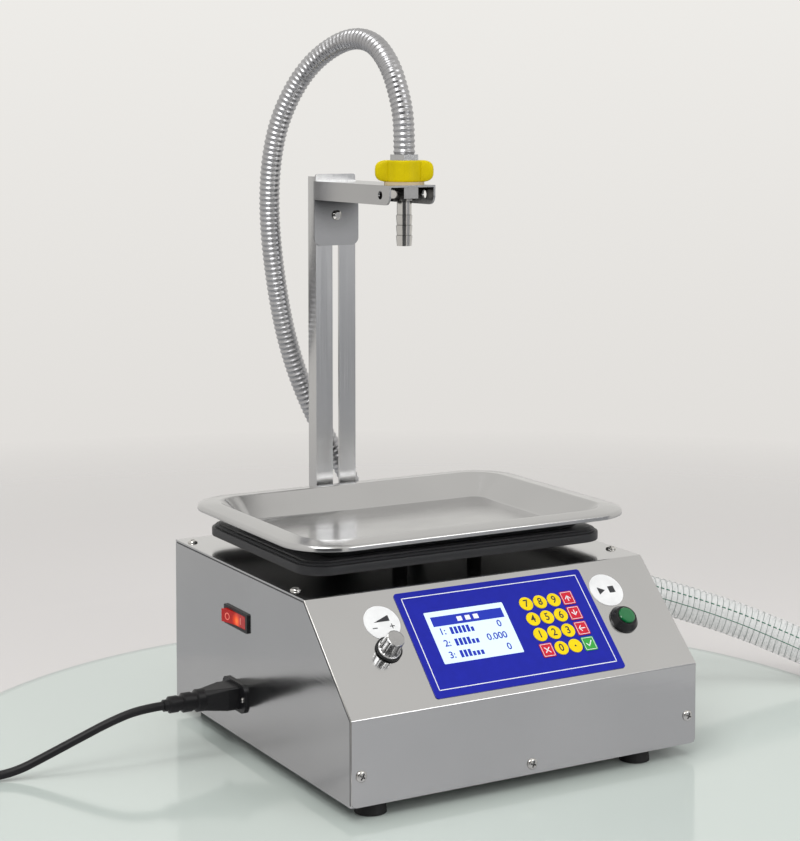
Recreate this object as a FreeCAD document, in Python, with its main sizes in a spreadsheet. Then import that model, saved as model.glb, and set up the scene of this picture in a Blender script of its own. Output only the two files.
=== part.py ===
import FreeCAD, Part
import math
import os
import re
import Sketcher

App = FreeCAD
Vector = App.Vector

# Driving dimensions in millimetres and degrees, each written once.
SIZES = {
    # cabinet: folded sheet, seen from the side a front wall, a slope and a top
    "cabinet_width": 360,
    "cabinet_depth": 369,
    "cabinet_height": 158.5,
    "front_height": 74.4,
    "slope_run": 86.6,
    "sheet_steel": 1.5,
    "sheet_gap": 0.3,
    "flange_width": 18,
    "lip_height": 18,
    "fold_radius": 2.5,
    "cover_corner": 5,
    # feet
    "foot_height": 11.5,
    "foot_radius": 14,
    "foot_left": 28,
    "foot_right": 56,
    "foot_front": 18,
    "foot_back": 30,
    # pan head screws of cover, rear panel and feet
    "screw_head": 5,
    "screw_head_height": 2.6,
    "screw_shank": 2,
    "screw_length": 10,
    "screw_hole_gap": 0.1,
    "screw_side": 9.5,
    "screw_top_front": 35,
    "screw_top_back": 21,
    "screw_low": 26.5,
    "screw_high": 30,
    "screw_lip": 9.3,
    # keypad overlay on the slope, placed by x and by distance up the slope
    "overlay_left": 94.7,
    "overlay_right": 104.2,
    "overlay_low": 7.1,
    "overlay_high": 114,
    "overlay_sheet": 0.8,
    "overlay_corner": 3,
    "window_left": 73,
    "window_right": 9.2,
    "window_low": 38.4,
    "window_high": 91,
    "window_gap": 0.3,
    # keys
    "key_first_x": 32.7,
    "key_first_row": 85.3,
    "key_pitch_x": 15.1,
    "key_pitch_row": 16.4,
    "key_radius": 6.9,
    "key_square_x": 13.2,
    "key_square_row": 14,
    "key_square_corner": 1.2,
    "key_gap": 0.15,
    "key_proud": 0.5,
    "key_skirt": 0.6,
    "key_travel": 0.5,
    "key_rest_gap": 0.1,
    "key_switch_radius": 3,
    "key_window_margin": 3,
    # display module and control board behind the slope
    "glass_depth": 0.3,
    "display_border": 6,
    "display_depth": 9,
    "board_thickness": 1.6,
    "board_drop": 4,
    "board_margin": 9,
    "board_pillar": 3,
    "board_chip": 8,
    # flow knob and potentiometer
    "knob_x": 120.1,
    "knob_row": 60.6,
    "knob_ring": 11.3,
    "knob_ring_height": 3,
    "knob_radius": 9.3,
    "knob_top_radius": 8,
    "knob_height": 19,
    "knob_facets": 12,
    "knob_lift": 0.4,
    "pot_can_radius": 8.5,
    "pot_can_depth": 9,
    "pot_bush_radius": 3.5,
    "pot_bush_height": 5,
    "pot_nut_radius": 5.6,
    "pot_nut_height": 2,
    "shaft_radius": 3,
    "shaft_top": 15,
    "running_gap": 0.06,
    "easy_gap": 0.3,
    # start button
    "button_x": 126.3,
    "button_row": 55,
    "button_ring": 13.7,
    "button_ring_top": 10.2,
    "button_ring_height": 7,
    "button_neck": 11,
    "button_cap": 8,
    "button_proud": 2.5,
    "button_travel": 2,
    "button_depth": 32,
    "button_wall": 1.6,
    # round labels
    "label_radius": 17.2,
    "label_sheet": 0.4,
    "flow_label_x": 116,
    "flow_label_row": 87.6,
    "start_label_x": 123.5,
    "start_label_row": 88.1,
    # rocker switch in the left wall
    "switch_y": 224.5,
    "switch_z": 123,
    "switch_length": 51,
    "switch_width": 18,
    "switch_bezel": 2,
    "switch_rim": 2.7,
    "switch_body_rim": 1.8,
    "switch_depth": 20,
    "switch_well": 14,
    "rocker_side_gap": 0.3,
    "rocker_end_gap": 1,
    "rocker_pivot": 1,
    "rocker_valley": 3,
    "rocker_end_rise": 5.5,
    "rocker_root": 8,
    "rocker_throw": 14,
    # mains inlet in the left wall and the connector in it
    "inlet_y": 228.3,
    "inlet_z": 50.2,
    "inlet_ear_pitch": 40,
    "inlet_flange_length": 50,
    "inlet_flange_width": 27,
    "inlet_flange": 2.5,
    "inlet_body_length": 30.5,
    "inlet_body_width": 22.5,
    "inlet_depth": 24,
    "inlet_well": 16,
    "inlet_wall": 2.6,
    "inlet_screw_head": 2.8,
    "inlet_screw_shank": 1.5,
    "inlet_screw_length": 8,
    "pin_length": 9,
    "connector_nose": 6,
    "connector_length": 28,
    "connector_width": 21.5,
    "connector_body": 32,
    "connector_neck": 19,
    "relief_length": 40,
    "relief_radius": 10.4,
    "relief_tip": 6.4,
    "relief_rings": 3,
    "ring_groove": 2.2,
    # mains cord, its coil and plug
    "cord_radius": 4,
    "coil_x": 487,
    "coil_y": 206,
    "coil_inner": 28,
    "coil_outer": 52,
    "coil_height": 15,
    "plug_offset": 45,
    "plug_relief": 28,
    "plug_tip": 5.5,
    "plug_neck": 6.5,
    "plug_length": 36,
    "plug_width": 38,
    "plug_height": 24,
    "plug_pin_length": 18,
    "plug_pin_pitch": 13,
    # scale
    "platform_length": 325,
    "platform_width": 225,
    "platform_x": 2,
    "platform_y": 222,
    "platform_lift": 10,
    "platform_height": 12.3,
    "platform_step": 3.3,
    "platform_inset": 7,
    "platform_corner": 28,
    "platform_skin": 1.5,
    "carrier_span": 110,
    "carrier_plate": 4,
    "carrier_drop": 9,
    "post_radius": 7,
    "post_hole_gap": 3,
    "cell_length": 130,
    "cell_width": 30,
    "cell_height": 22,
    "cell_end": 30,
    "cell_bore": 8,
    "cell_spacer": 3,
    "bracket_width": 60,
    "bracket_depth": 44,
    "bracket_foot": 12,
    "bracket_sheet": 4,
    # filling tray
    "tray_length": 360,
    "tray_width": 270,
    "tray_height": 22,
    "tray_wall": 1,
    "tray_slope": 24,
    "tray_corner": 48,
    "tray_floor_corner": 38,
    "rim_width": 20,
    "rim_drop": 2.5,
    "rim_roll": 4.5,
    "rim_round": 2,
    # mast
    "mast_width": 45.5,
    "mast_flange": 17.5,
    "mast_sheet": 2.5,
    "mast_low": 40,
    "mast_high": 529.8,
    "mast_lip": 2.6,
    "mast_lip_corner": 2.4,
    "mast_slot": 7.6,
    "slot_low": 205,
    "slot_high": 512,
    "mast_bolt_x": 14,
    "mast_bolt_low": 70,
    "mast_bolt_high": 145,
    "bolt_radius": 3,
    "bolt_head": 5.2,
    "bolt_head_height": 4,
    "bolt_length": 10,
    # nozzle arm
    "arm_width": 50.8,
    "arm_low": 503.7,
    "arm_high": 522.7,
    "arm_sheet": 2,
    "arm_front": 211,
    "arm_corner": 9,
    "arm_gap": 0.1,
    "plate_low": 456.6,
    "plate_corner": 8,
    "arm_bore_back": 18,
    "arm_bore": 4.2,
    "clamp_z": 487.6,
    "clamp_radius": 3,
    "clamp_head": 5,
    "clamp_head_height": 3,
    "knob_hub": 9,
    "knob_hub_length": 14,
    "star_radius": 18,
    "star_thickness": 14,
    "star_notch": 6,
    "star_lobes": 6,
    "clamp_wall": 4,
    # nozzle, union and ferrule on one vertical axis
    "nozzle_x": 2.4,
    "nozzle_y": 231.2,
    "nozzle_tip": 463.7,
    "nozzle_bore": 5,
    "barb_pitch": 9.9,
    "barb_radius": 8,
    "barb_root": 7.2,
    "nozzle_hex": 15.6,
    "nozzle_hex_height": 11,
    "nozzle_disc": 10,
    "nozzle_disc_height": 2.2,
    "thread_radius": 13,
    "thread_length": 13.4,
    "washer_radius": 19.4,
    "washer_height": 2.9,
    "wing_core": 17.5,
    "wing_height": 20.6,
    "wing_span": 56.8,
    "wing_thickness": 13,
    "wing_turn": -29.6,
    "wing_lip": 4.8,
    "ferrule_neck": 11.2,
    "ferrule_flange": 12.8,
    "ferrule_hex": 15.5,
    "ferrule_hex_height": 5.4,
    # filling hose and its outlet on the rear panel
    "hose_radius": 10.75,
    "outlet_x": 38,
    "outlet_z": 125,
    "outlet_reach": 30,
    "outlet_radius": 9.5,
    "elbow_bend": 15,
    "outlet_hex": 14,
    "outlet_hex_height": 6,
    "outlet_collar": 13,
    "outlet_rise": 38,
    "outlet_thread": 14,
    # suction hose and its fitting on the right wall
    "suction_y": 236.9,
    "suction_z": 113.7,
    "suction_radius": 18,
    "suction_wall": 3.5,
    "fitting_hex": 21,
    "fitting_hex_height": 8,
    "barb_length": 24,
    "fitting_thread": 12,
    "fitting_thread_length": 22,
    "fitting_bore": 8,
    # pump, motor and power supply inside
    "pump_width": 56,
    "pump_depth": 46,
    "pump_height": 60,
    "pump_side": 50,
    "pump_port": 8,
    "pump_port_length": 12,
    "motor_radius": 27,
    "motor_length": 88,
    "motor_foot": 6,
    "supply_gap": 4,
    "supply_y": 215,
    "supply_length": 130,
    "supply_width": 80,
    "supply_height": 38,
}

# Lengths and places that follow from the driving dimensions.
FORMULAS = {
    "half_width": "cabinet_width / 2",
    "bend_z": "foot_height + front_height",
    "top_z": "foot_height + cabinet_height",
    "slope_angle": "atan((cabinet_height - front_height) / slope_run)",
    "floor_z": "foot_height + sheet_steel",
    "screw_x": "half_width - screw_side",
    "platform_low": "top_z + platform_lift",
    "tray_low": "platform_low + platform_height",
    "tray_high": "tray_low + tray_height",
    "key_top": "overlay_sheet + key_proud",
    "key_low": "-key_skirt",
    "board_top": "-sheet_steel - board_drop",
    "left_wall": "-half_width",
    "pump_x": "half_width - pump_side",
    "supply_left": "left_wall + inlet_depth + supply_gap",
    "rocker_half": "switch_length / 2 - switch_rim - switch_body_rim - rocker_side_gap",
    "carrier_top": "top_z - sheet_steel - carrier_drop",
    "cell_top": "carrier_top - carrier_plate - cell_spacer",
    "cell_low": "cell_top - cell_height",
    "cell_back": "platform_y + cell_length / 2",
    "cell_front": "platform_y - cell_length / 2",
    "mast_back": "cabinet_depth + mast_flange",
    "plate_front": "cabinet_depth - arm_gap - arm_sheet",
    "knob_hub_front": "cabinet_depth + mast_sheet + arm_gap",
    "star_front": "knob_hub_front + knob_hub_length",
    "star_back": "star_front + star_thickness",
    "nozzle_seat": "arm_high - arm_sheet",
    "washer_top": "arm_high + washer_height",
    "wing_low": "washer_top + arm_gap",
    "wing_high": "wing_low + wing_height",
    "thread_top": "nozzle_seat + arm_sheet + thread_length",
    "ferrule_low": "wing_high + arm_gap",
    "ferrule_top": "ferrule_low + ferrule_hex_height",
    "outlet_y": "cabinet_depth + outlet_reach",
    "hose_start_z": "outlet_z + outlet_rise",
    "rocker_reach": "half_width - rocker_pivot + rocker_half * sin(rocker_throw / 2)"
                    " + rocker_end_rise * cos(rocker_throw / 2)",
    "origin_x": "(half_width - rocker_reach) / 2",
    "origin_y": "(star_back - screw_head_height) / 2",
}

# Centre lines of the two hoses and the cord, as corners that arcs round off, in the machine's place.
FILLING_ROUTE = [
    (38, 399, 198), (11, 404.5, 243), (-17, 407.5, 298), (-37, 410.5, 358), (-49, 412, 425),
    (-55.5, 412, 490), (-54.3, 408, 548), (-46, 398, 595), (-28.2, 375, 640.4), (-9.3, 334, 666),
    (-0.8, 291, 664.7), (1.8, 258, 639.8), (3.2, 240, 605.5), (2.4, 231.2, 580),
]
SUCTION_ROUTE = [
    (228, 236.9, 113.7), (268, 231.5, 104.5), (306, 218.5, 90), (343, 200, 75.5), (378, 176.5, 60),
    (410, 148.5, 44.5), (438, 117.5, 30), (462, 86, 20), (490, 52.5, 18.2), (530, 25, 18.2),
    (588, 7, 18.2), (655, 5, 18.2), (714, 25, 18.2), (764, 62, 18.2), (798, 114, 18.2),
    (813, 174, 18.2), (806, 236, 18.2), (783, 290, 18.2),
]
CORD_ROUTE = [
    (-276, 228.3, 50.2), (-303, 230, 43), (-333, 235, 30), (-362, 240.5, 17),
    (-388, 244, 6.5), (-414, 247, 4.2), (-443, 252.3, 4.2), (-472.5, 260.6, 4.2),
]

doc = App.newDocument("filling_machine")
sheet = doc.addObject("Spreadsheet::Sheet", "Sizes")
for row, (alias, number) in enumerate(SIZES.items(), start=1):
    sheet.set(f"A{row}", alias)
    sheet.set(f"B{row}", str(number))
    sheet.setAlias(f"B{row}", alias)
doc.recompute()

nodes = []


def expand(text):
    """Sheet expression for a text that names sizes and formulas."""
    def swap(match):
        word = match.group(0)
        if word in FORMULAS:
            return "(" + expand(FORMULAS[word]) + ")"
        if word in SIZES:
            return "Sizes." + word
        return word
    return re.sub(r"[a-z_]+", swap, str(text))


def value(text):
    """Number that a text of sizes and formulas stands for."""
    answer = sheet.evalExpression(expand(text))
    return float(getattr(answer, "Value", answer))


def bind(thing, name, text):
    """Tie one property of a thing to the sheet."""
    thing.setExpression(name, expand(text))


def put(thing, spot=(0, 0, 0), axis=None, angle="0", member=False):
    """Place a thing at a spot of the machine; a piece of a group leaves the frame's origin to it."""
    if axis:
        thing.Placement = App.Placement(Vector(), App.Rotation(Vector(*axis), value(angle)))
        bind(thing, "Placement.Rotation.Angle", angle)
    shift = ("0", "0", "0") if member else ("origin_x", "origin_y", "0")
    for letter, place, start in zip("xyz", spot, shift):
        bind(thing, "Placement.Base." + letter, f"{place} - {start}")
    return thing


def node(thing, label, *args, **kwargs):
    """Place a finished piece and list it for export."""
    thing.Label = label
    put(thing, *args, **kwargs)
    nodes.append(thing)
    return thing


def new_body(name):
    return doc.addObject("PartDesign::Body", name + "_body")


def sketch_on(body, plane, spot=(0, 0, 0), tilt=None):
    """Sketch on one of the body's own planes, moved by spot and tilted about the plane's first axis."""
    sketch = body.newObject("Sketcher::SketchObject", body.Name + "_sketch")
    base = [face for face in body.Origin.OriginFeatures if face.Role == plane][0]
    sketch.AttachmentSupport = [(base, "")]
    sketch.MapMode = "FlatFace"
    if tilt:
        turn = App.Rotation(Vector(1, 0, 0), value(tilt))
        sketch.AttachmentOffset = App.Placement(Vector(), turn)
        bind(sketch, "AttachmentOffset.Rotation.Angle", tilt)
    for letter, place in zip("xyz", spot):
        if str(place) != "0":
            bind(sketch, "AttachmentOffset.Base." + letter, place)
    return sketch


def constrain(sketch, rules):
    """Add constraints, and tie those that come with a size text to the sheet."""
    added = sketch.addConstraint([Sketcher.Constraint(*rule[0]) for rule in rules])
    for index, rule in zip(added, rules):
        if len(rule) > 1:
            bind(sketch, f"Constraints[{index}]", rule[1])


def fix_point(line, end, across, up):
    """Two rules that hold one point of a line at a place from the sketch's origin."""
    return [
        (("DistanceX", -1, 1, line, end, value(across)), across),
        (("DistanceY", -1, 1, line, end, value(up)), up),
    ]


def outline(sketch, corners):
    """Closed outline of straight lines through the corners."""
    first = sketch.GeometryCount
    points = [Vector(value(across), value(up), 0) for across, up in corners]
    count = len(points)
    lines = [Part.LineSegment(points[i], points[(i + 1) % count]) for i in range(count)]
    sketch.addGeometry(lines, False)
    rules = []
    for i, (across, up) in enumerate(corners):
        rules.append((("Coincident", first + i, 2, first + (i + 1) % count, 1),))
        rules += fix_point(first + i, 1, across, up)
    constrain(sketch, rules)
    return sketch


def circle(sketch, across, up, radius):
    """Circle held at a place from the sketch's origin."""
    first = sketch.GeometryCount
    centre = Vector(value(across), value(up), 0)
    sketch.addGeometry(Part.Circle(centre, Vector(0, 0, 1), value(radius)), False)
    rules = fix_point(first, 3, across, up)
    rules.append((("Radius", first, value(radius)), radius))
    constrain(sketch, rules)
    return sketch


def rounded(sketch, middle, length, width, radius):
    """Rectangle round a middle, with four equal round corners."""
    first = sketch.GeometryCount
    x, y = value(middle[0]), value(middle[1])
    a, b, r = value(length) / 2, value(width) / 2, value(radius)
    ends = [
        (Vector(x - a + r, y - b, 0), Vector(x + a - r, y - b, 0)),
        (Vector(x + a, y - b + r, 0), Vector(x + a, y + b - r, 0)),
        (Vector(x + a - r, y + b, 0), Vector(x - a + r, y + b, 0)),
        (Vector(x - a, y + b - r, 0), Vector(x - a, y - b + r, 0)),
    ]
    centres = [Vector(x + a - r, y - b + r, 0), Vector(x + a - r, y + b - r, 0),
               Vector(x - a + r, y + b - r, 0), Vector(x - a + r, y - b + r, 0)]
    shapes = [Part.LineSegment(*pair) for pair in ends]
    for quarter, centre in enumerate(centres):
        full = Part.Circle(centre, Vector(0, 0, 1), r)
        shapes.append(Part.ArcOfCircle(full, (quarter - 1) * math.pi / 2, quarter * math.pi / 2))
    sketch.addGeometry(shapes, False)
    rules = []
    for side in range(4):
        arc = first + 4 + side
        rules.append((("Tangent", first + side, 2, arc, 1),))
        rules.append((("Tangent", arc, 2, first + (side + 1) % 4, 1),))
        rules.append((("Horizontal" if side % 2 == 0 else "Vertical", first + side),))
    rules.append((("Equal", first + 4, first + 5),))
    rules.append((("Equal", first + 4, first + 6),))
    rules.append((("Equal", first + 4, first + 7),))
    rules.append((("Radius", first + 4, r), radius))
    rules.append((("DistanceY", -1, 1, first, 1, y - b), f"{middle[1]} - ({width}) / 2"))
    rules.append((("DistanceX", -1, 1, first + 1, 1, x + a), f"{middle[0]} + ({length}) / 2"))
    rules.append((("DistanceY", -1, 1, first + 2, 1, y + b), f"{middle[1]} + ({width}) / 2"))
    rules.append((("DistanceX", -1, 1, first + 3, 1, x - a), f"{middle[0]} - ({length}) / 2"))
    constrain(sketch, rules)
    return sketch


def feature(body, kind, sketch, length, both=False, back=False, taper=None):
    """Pad or pocket of one sketch."""
    made = body.newObject("PartDesign::" + kind, body.Name + "_" + kind.lower())
    made.Profile = sketch
    if both:
        made.SideType = "Symmetric"
    made.Reversed = back
    bind(made, "Length", length)
    if taper:
        bind(made, "TaperAngle", taper)
    sketch.Visibility = False
    return made


def pad(body, sketch, length, **options):
    return feature(body, "Pad", sketch, length, **options)


def pocket(body, sketch, length, **options):
    """Pocket that has to take something away."""
    doc.recompute()
    before = body.Shape.Volume
    made = feature(body, "Pocket", sketch, length, **options)
    doc.recompute()
    if not body.Shape.Volume < before:
        raise RuntimeError(f"{made.Name} cuts nothing")
    return made


def revolve(body, sketch, axis):
    """Full turn of a sketch about its first (H) or second (V) axis."""
    made = body.newObject("PartDesign::Revolution", body.Name + "_turn")
    made.Profile = sketch
    made.ReferenceAxis = (sketch, [axis + "_Axis"])
    made.Angle = 360
    return made


def turned(name, axis, profile):
    """Body of a profile of (along, radius) corners, turned about its own X, Y or Z axis."""
    body = new_body(name)
    if axis == "Z":
        revolve(body, outline(sketch_on(body, "XZ_Plane"), [(r, a) for a, r in profile]), "V")
    else:
        plane = "XZ_Plane" if axis == "X" else "YZ_Plane"
        revolve(body, outline(sketch_on(body, plane), profile), "H")
    return body


def loft(body, sketches, kind="AdditiveLoft"):
    """Ruled skin through sketches, added or taken away."""
    made = body.newObject("PartDesign::" + kind, body.Name + "_loft")
    made.Profile = sketches[0]
    made.Sections = sketches[1:]
    made.Ruled = True
    return made


def round_edges(body, radius, test):
    """Fillet on the edges whose ends and middle pass the test."""
    doc.recompute()
    tip = body.Tip
    picked = []
    for index, edge in enumerate(tip.Shape.Edges, start=1):
        spots = [vertex.Point for vertex in edge.Vertexes] + [edge.CenterOfMass]
        if all(test(spot) for spot in spots):
            picked.append(f"Edge{index}")
    if not picked:
        raise RuntimeError(f"{body.Name} has no such edge")
    made = body.newObject("PartDesign::Fillet", body.Name + "_fillet")
    made.Base = (tip, picked)
    bind(made, "Radius", radius)
    return made


def near(number, text):
    return abs(number - value(text)) < 0.01


def hexagon(sketch, across, up, radius):
    """Regular hexagon of six lines on a circle of the given radius."""
    corners = []
    for step in range(6):
        angle = 60 * step
        corners.append((f"{across} + {radius} * cos({angle})", f"{up} + {radius} * sin({angle})"))
    return outline(sketch, corners)


def on_slope(x, row):
    """Place of a point given by x and its distance up the slope."""
    return (x, f"({row}) * cos(slope_angle)", f"bend_z + ({row}) * sin(slope_angle)")


SLOPE = {"axis": (1, 0, 0), "angle": "slope_angle"}
SLOPE_FOOT = ("0", "0", "bend_z")


def group(label, members):
    """One node of several equal loose pieces."""
    gathered = doc.addObject("Part::Compound", label + "_group")
    gathered.Links = members
    return node(gathered, label)


def fused(label, members, *args, **kwargs):
    """One piece fused from overlapping solids."""
    whole = doc.addObject("Part::MultiFuse", label + "_fuse")
    whole.Shapes = members
    whole.Refine = True
    return node(whole, label, *args, **kwargs)


def rod(radius, length, spot, axis=None, angle="0"):
    """Cylinder along Z, or turned about an axis, that joins a larger piece."""
    made = doc.addObject("Part::Cylinder", "rod")
    bind(made, "Radius", radius)
    bind(made, "Height", length)
    return put(made, spot, axis, angle, member=True)


def block(length, width, height, spot):
    """Box with its low corner at the spot, that joins a larger piece."""
    made = doc.addObject("Part::Box", "block")
    bind(made, "Length", length)
    bind(made, "Width", width)
    bind(made, "Height", height)
    return put(made, spot, member=True)


def prism(radius, length, spot, axis=None, angle="0"):
    """Hexagonal prism along Z, or turned about an axis, that joins a larger piece."""
    made = doc.addObject("Part::Prism", "prism")
    made.Polygon = 6
    bind(made, "Circumradius", radius)
    bind(made, "Height", length)
    return put(made, spot, axis, angle, member=True)


ALONG_Y = ((1, 0, 0), "-90")


def cabinet_side(inset, back, low):
    """Side outline of the cabinet, moved inwards at the front, slope and top."""
    return [
        (inset, low),
        (inset, f"bend_z - ({inset}) * tan(45 deg - slope_angle / 2)"),
        (f"slope_run + ({inset}) * tan(slope_angle / 2)", f"top_z - ({inset})"),
        (back, f"top_z - ({inset})"),
        (back, low),
    ]


FEET = [("foot_left - half_width", "foot_front"), ("half_width - foot_right", "foot_front"),
        ("foot_left - half_width", "cabinet_depth - foot_back"),
        ("half_width - foot_right", "cabinet_depth - foot_back")]
TOP_SCREWS = [(side + "screw_x", along) for side in ("-", "")
              for along in ("slope_run + screw_top_front", "cabinet_depth - screw_top_back")]
FRONT_SCREWS = [("-(screw_x)", "foot_height + screw_low"), ("screw_x", "foot_height + screw_low"),
                ("0", "foot_height + screw_lip")]
REAR_SCREWS = [(side + "screw_x", up) for side in ("-", "")
               for up in ("foot_height + screw_low", "top_z - screw_high")]
MAST_BOLTS = [(side + "mast_bolt_x", up) for side in ("-", "")
              for up in ("mast_bolt_low", "mast_bolt_high")]
POSTS = [(f"platform_x {a} carrier_span / 2 {b} post_radius * 2", f"platform_y {c} carrier_span / 2")
         for a, b in (("-", "+"), ("+", "-")) for c in ("-", "+")]
SCREW_HOLE = "screw_shank + screw_hole_gap"

KEY_ROWS = [
    ("7", "8", "9", "up"),
    ("4", "5", "6", "down"),
    ("1", "2", "3", "back"),
    ("cancel", "0", "point", "confirm"),
]
SQUARE_KEYS = ("up", "down", "back", "cancel", "confirm")
KEYS = [(name, f"key_first_x + {column} * key_pitch_x", f"key_first_row - {line} * key_pitch_row")
        for line, names in enumerate(KEY_ROWS) for column, name in enumerate(names)]
KEYS_MIDDLE = ("key_first_x + 1.5 * key_pitch_x", "key_first_row - 1.5 * key_pitch_row")
KEYS_LENGTH = "3 * key_pitch_x + 2 * key_radius + key_window_margin"
KEYS_WIDTH = "3 * key_pitch_row + 2 * key_radius + key_window_margin"
WINDOW_MIDDLE = ("(window_right - window_left) / 2", "(window_low + window_high) / 2")
WINDOW_LENGTH = "window_left + window_right"
WINDOW_WIDTH = "window_high - window_low"
OVERLAY_MIDDLE = ("(overlay_right - overlay_left) / 2", "(overlay_low + overlay_high) / 2")


def make_chassis():
    """Bottom and side walls with inward flanges at the front, slope, top and back."""
    body = new_body("chassis")
    back = "cabinet_depth - sheet_steel"
    side = sketch_on(body, "YZ_Plane")
    pad(body, outline(side, cabinet_side("sheet_steel", back, "foot_height")), "cabinet_width", both=True)
    inner = sketch_on(body, "YZ_Plane")
    outline(inner, cabinet_side("2 * sheet_steel", back + " - sheet_steel", "floor_z"))
    pocket(body, inner, "cabinet_width - 2 * sheet_steel", both=True)
    mouth = sketch_on(body, "YZ_Plane")
    lip = "foot_height + lip_height"
    outline(mouth, [("-sheet_steel", lip), ("-sheet_steel", "top_z"), ("cabinet_depth", "top_z"),
                    ("cabinet_depth", lip)])
    pocket(body, mouth, "cabinet_width - 2 * flange_width", both=True)
    for y, z in cabinet_side("sheet_steel", "0", "0")[1:3]:
        round_edges(body, "fold_radius - sheet_steel", lambda p, y=y, z=z: near(p.y, y) and near(p.z, z))
    left = sketch_on(body, "YZ_Plane", (0, 0, "2 * sheet_steel - half_width"))
    rounded(left, ("switch_y", "switch_z"), "switch_length - 2 * switch_rim + 2 * sheet_gap",
            "switch_width - 2 * switch_body_rim + 2 * sheet_gap", "sheet_gap")
    rounded(left, ("inlet_y", "inlet_z"), "inlet_body_length + 2 * sheet_gap",
            "inlet_body_width + 2 * sheet_gap", "sheet_gap")
    for sign in "-+":
        circle(left, f"inlet_y {sign} inlet_ear_pitch / 2", "inlet_z", "inlet_screw_shank + screw_hole_gap")
    pocket(body, left, "4 * sheet_steel")
    right = sketch_on(body, "YZ_Plane", (0, 0, "half_width - 2 * sheet_steel"))
    circle(right, "suction_y", "suction_z", "fitting_thread + screw_hole_gap")
    pocket(body, right, "4 * sheet_steel", back=True)
    below = sketch_on(body, "XY_Plane", (0, 0, "floor_z + sheet_steel"))
    for x, y in FEET:
        circle(below, x, y, SCREW_HOLE)
    pocket(body, below, "4 * sheet_steel")
    above = sketch_on(body, "XY_Plane", (0, 0, "top_z"))
    for x, y in TOP_SCREWS:
        circle(above, x, y, SCREW_HOLE)
    pocket(body, above, "5 * sheet_steel")
    front = sketch_on(body, "XZ_Plane")
    for x, z in FRONT_SCREWS:
        circle(front, x, z, SCREW_HOLE)
    pocket(body, front, "5 * sheet_steel")
    rear = sketch_on(body, "XZ_Plane", (0, 0, "5 * sheet_steel - cabinet_depth"))
    for x, z in REAR_SCREWS:
        circle(rear, x, z, SCREW_HOLE)
    pocket(body, rear, "6 * sheet_steel")
    node(body, "base_chassis")


def make_cover():
    """Top, slope and front folded from one sheet."""
    body = new_body("cover")
    low = "foot_height"
    outer = cabinet_side("0", "cabinet_depth", low)[:4]
    inner = cabinet_side("sheet_steel", "cabinet_depth", low)[:4]
    side = outline(sketch_on(body, "YZ_Plane"), outer + inner[::-1])
    pad(body, side, "cabinet_width - 2 * sheet_gap", both=True)
    doc.recompute()
    folds = [(place, "fold_radius") for place in outer[1:3]]
    folds += [(place, "fold_radius - sheet_steel") for place in inner[1:3]]
    for (y, z), radius in folds:
        round_edges(body, radius, lambda p, y=y, z=z: near(p.y, y) and near(p.z, z))
    edge = value("half_width - sheet_gap")
    round_edges(body, "cover_corner",
                lambda p: near(p.z, low) and p.y < value("2 * sheet_steel") and abs(abs(p.x) - edge) < 0.01)
    slope = sketch_on(body, "XY_Plane", SLOPE_FOOT, "slope_angle")
    rounded(slope, WINDOW_MIDDLE, WINDOW_LENGTH + " + 2 * window_gap", WINDOW_WIDTH + " + 2 * window_gap",
            "key_square_corner")
    rounded(slope, KEYS_MIDDLE, KEYS_LENGTH, KEYS_WIDTH, "overlay_corner")
    circle(slope, "-knob_x", "knob_row", "pot_bush_radius + screw_hole_gap")
    circle(slope, "button_x", "button_row", "button_neck + screw_hole_gap")
    pocket(body, slope, "3 * sheet_steel", both=True)
    top = sketch_on(body, "XY_Plane", (0, 0, "top_z"))
    for x, y in TOP_SCREWS:
        circle(top, x, y, SCREW_HOLE)
    for x, y in POSTS:
        circle(top, x, y, "post_radius + post_hole_gap")
    pocket(body, top, "2 * sheet_steel")
    front = sketch_on(body, "XZ_Plane")
    for x, z in FRONT_SCREWS:
        circle(front, x, z, SCREW_HOLE)
    pocket(body, front, "2 * sheet_steel")
    node(body, "front_cover")


def make_rear_panel():
    """Flat sheet that closes the back and carries the mast and the hose outlet."""
    body = new_body("rear_panel")
    flat = sketch_on(body, "XZ_Plane", (0, 0, "-cabinet_depth"))
    low, high = "foot_height", "top_z - sheet_steel - sheet_gap"
    rounded(flat, ("0", f"({low} + {high}) / 2"), "cabinet_width - 2 * sheet_gap", f"{high} - {low}",
            "sheet_steel")
    pad(body, flat, "sheet_steel")
    holes = sketch_on(body, "XZ_Plane", (0, 0, "-cabinet_depth - sheet_steel"))
    for x, z in REAR_SCREWS:
        circle(holes, x, z, SCREW_HOLE)
    for x, z in MAST_BOLTS:
        circle(holes, x, z, "bolt_radius + screw_hole_gap")
    circle(holes, "outlet_x", "outlet_z", "outlet_radius + screw_hole_gap")
    pocket(body, holes, "4 * sheet_steel", both=True)
    node(body, "rear_panel")


def screw(spot, axis=None, angle="0"):
    """Pan head screw whose head stands out along its own Z axis."""
    body = turned("screw", "Z", [
        ("-screw_length", "0"), ("-screw_length", "screw_shank"), ("0", "screw_shank"), ("0", "screw_head"),
        ("screw_head_height * 0.45", "screw_head"), ("screw_head_height", "screw_head * 0.6"),
        ("screw_head_height", "0")])
    return put(body, spot, axis, angle, member=True)


def make_screws():
    """All pan head screws of the cabinet, as one group."""
    made = [screw((x, y, "top_z")) for x, y in TOP_SCREWS]
    made += [screw((x, "0", z), (1, 0, 0), "90") for x, z in FRONT_SCREWS]
    made += [screw((x, "cabinet_depth", z), (1, 0, 0), "-90") for x, z in REAR_SCREWS]
    made += [screw((x, y, "foot_height / 2"), (1, 0, 0), "180") for x, y in FEET]
    group("pan_screws", made)


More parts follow.
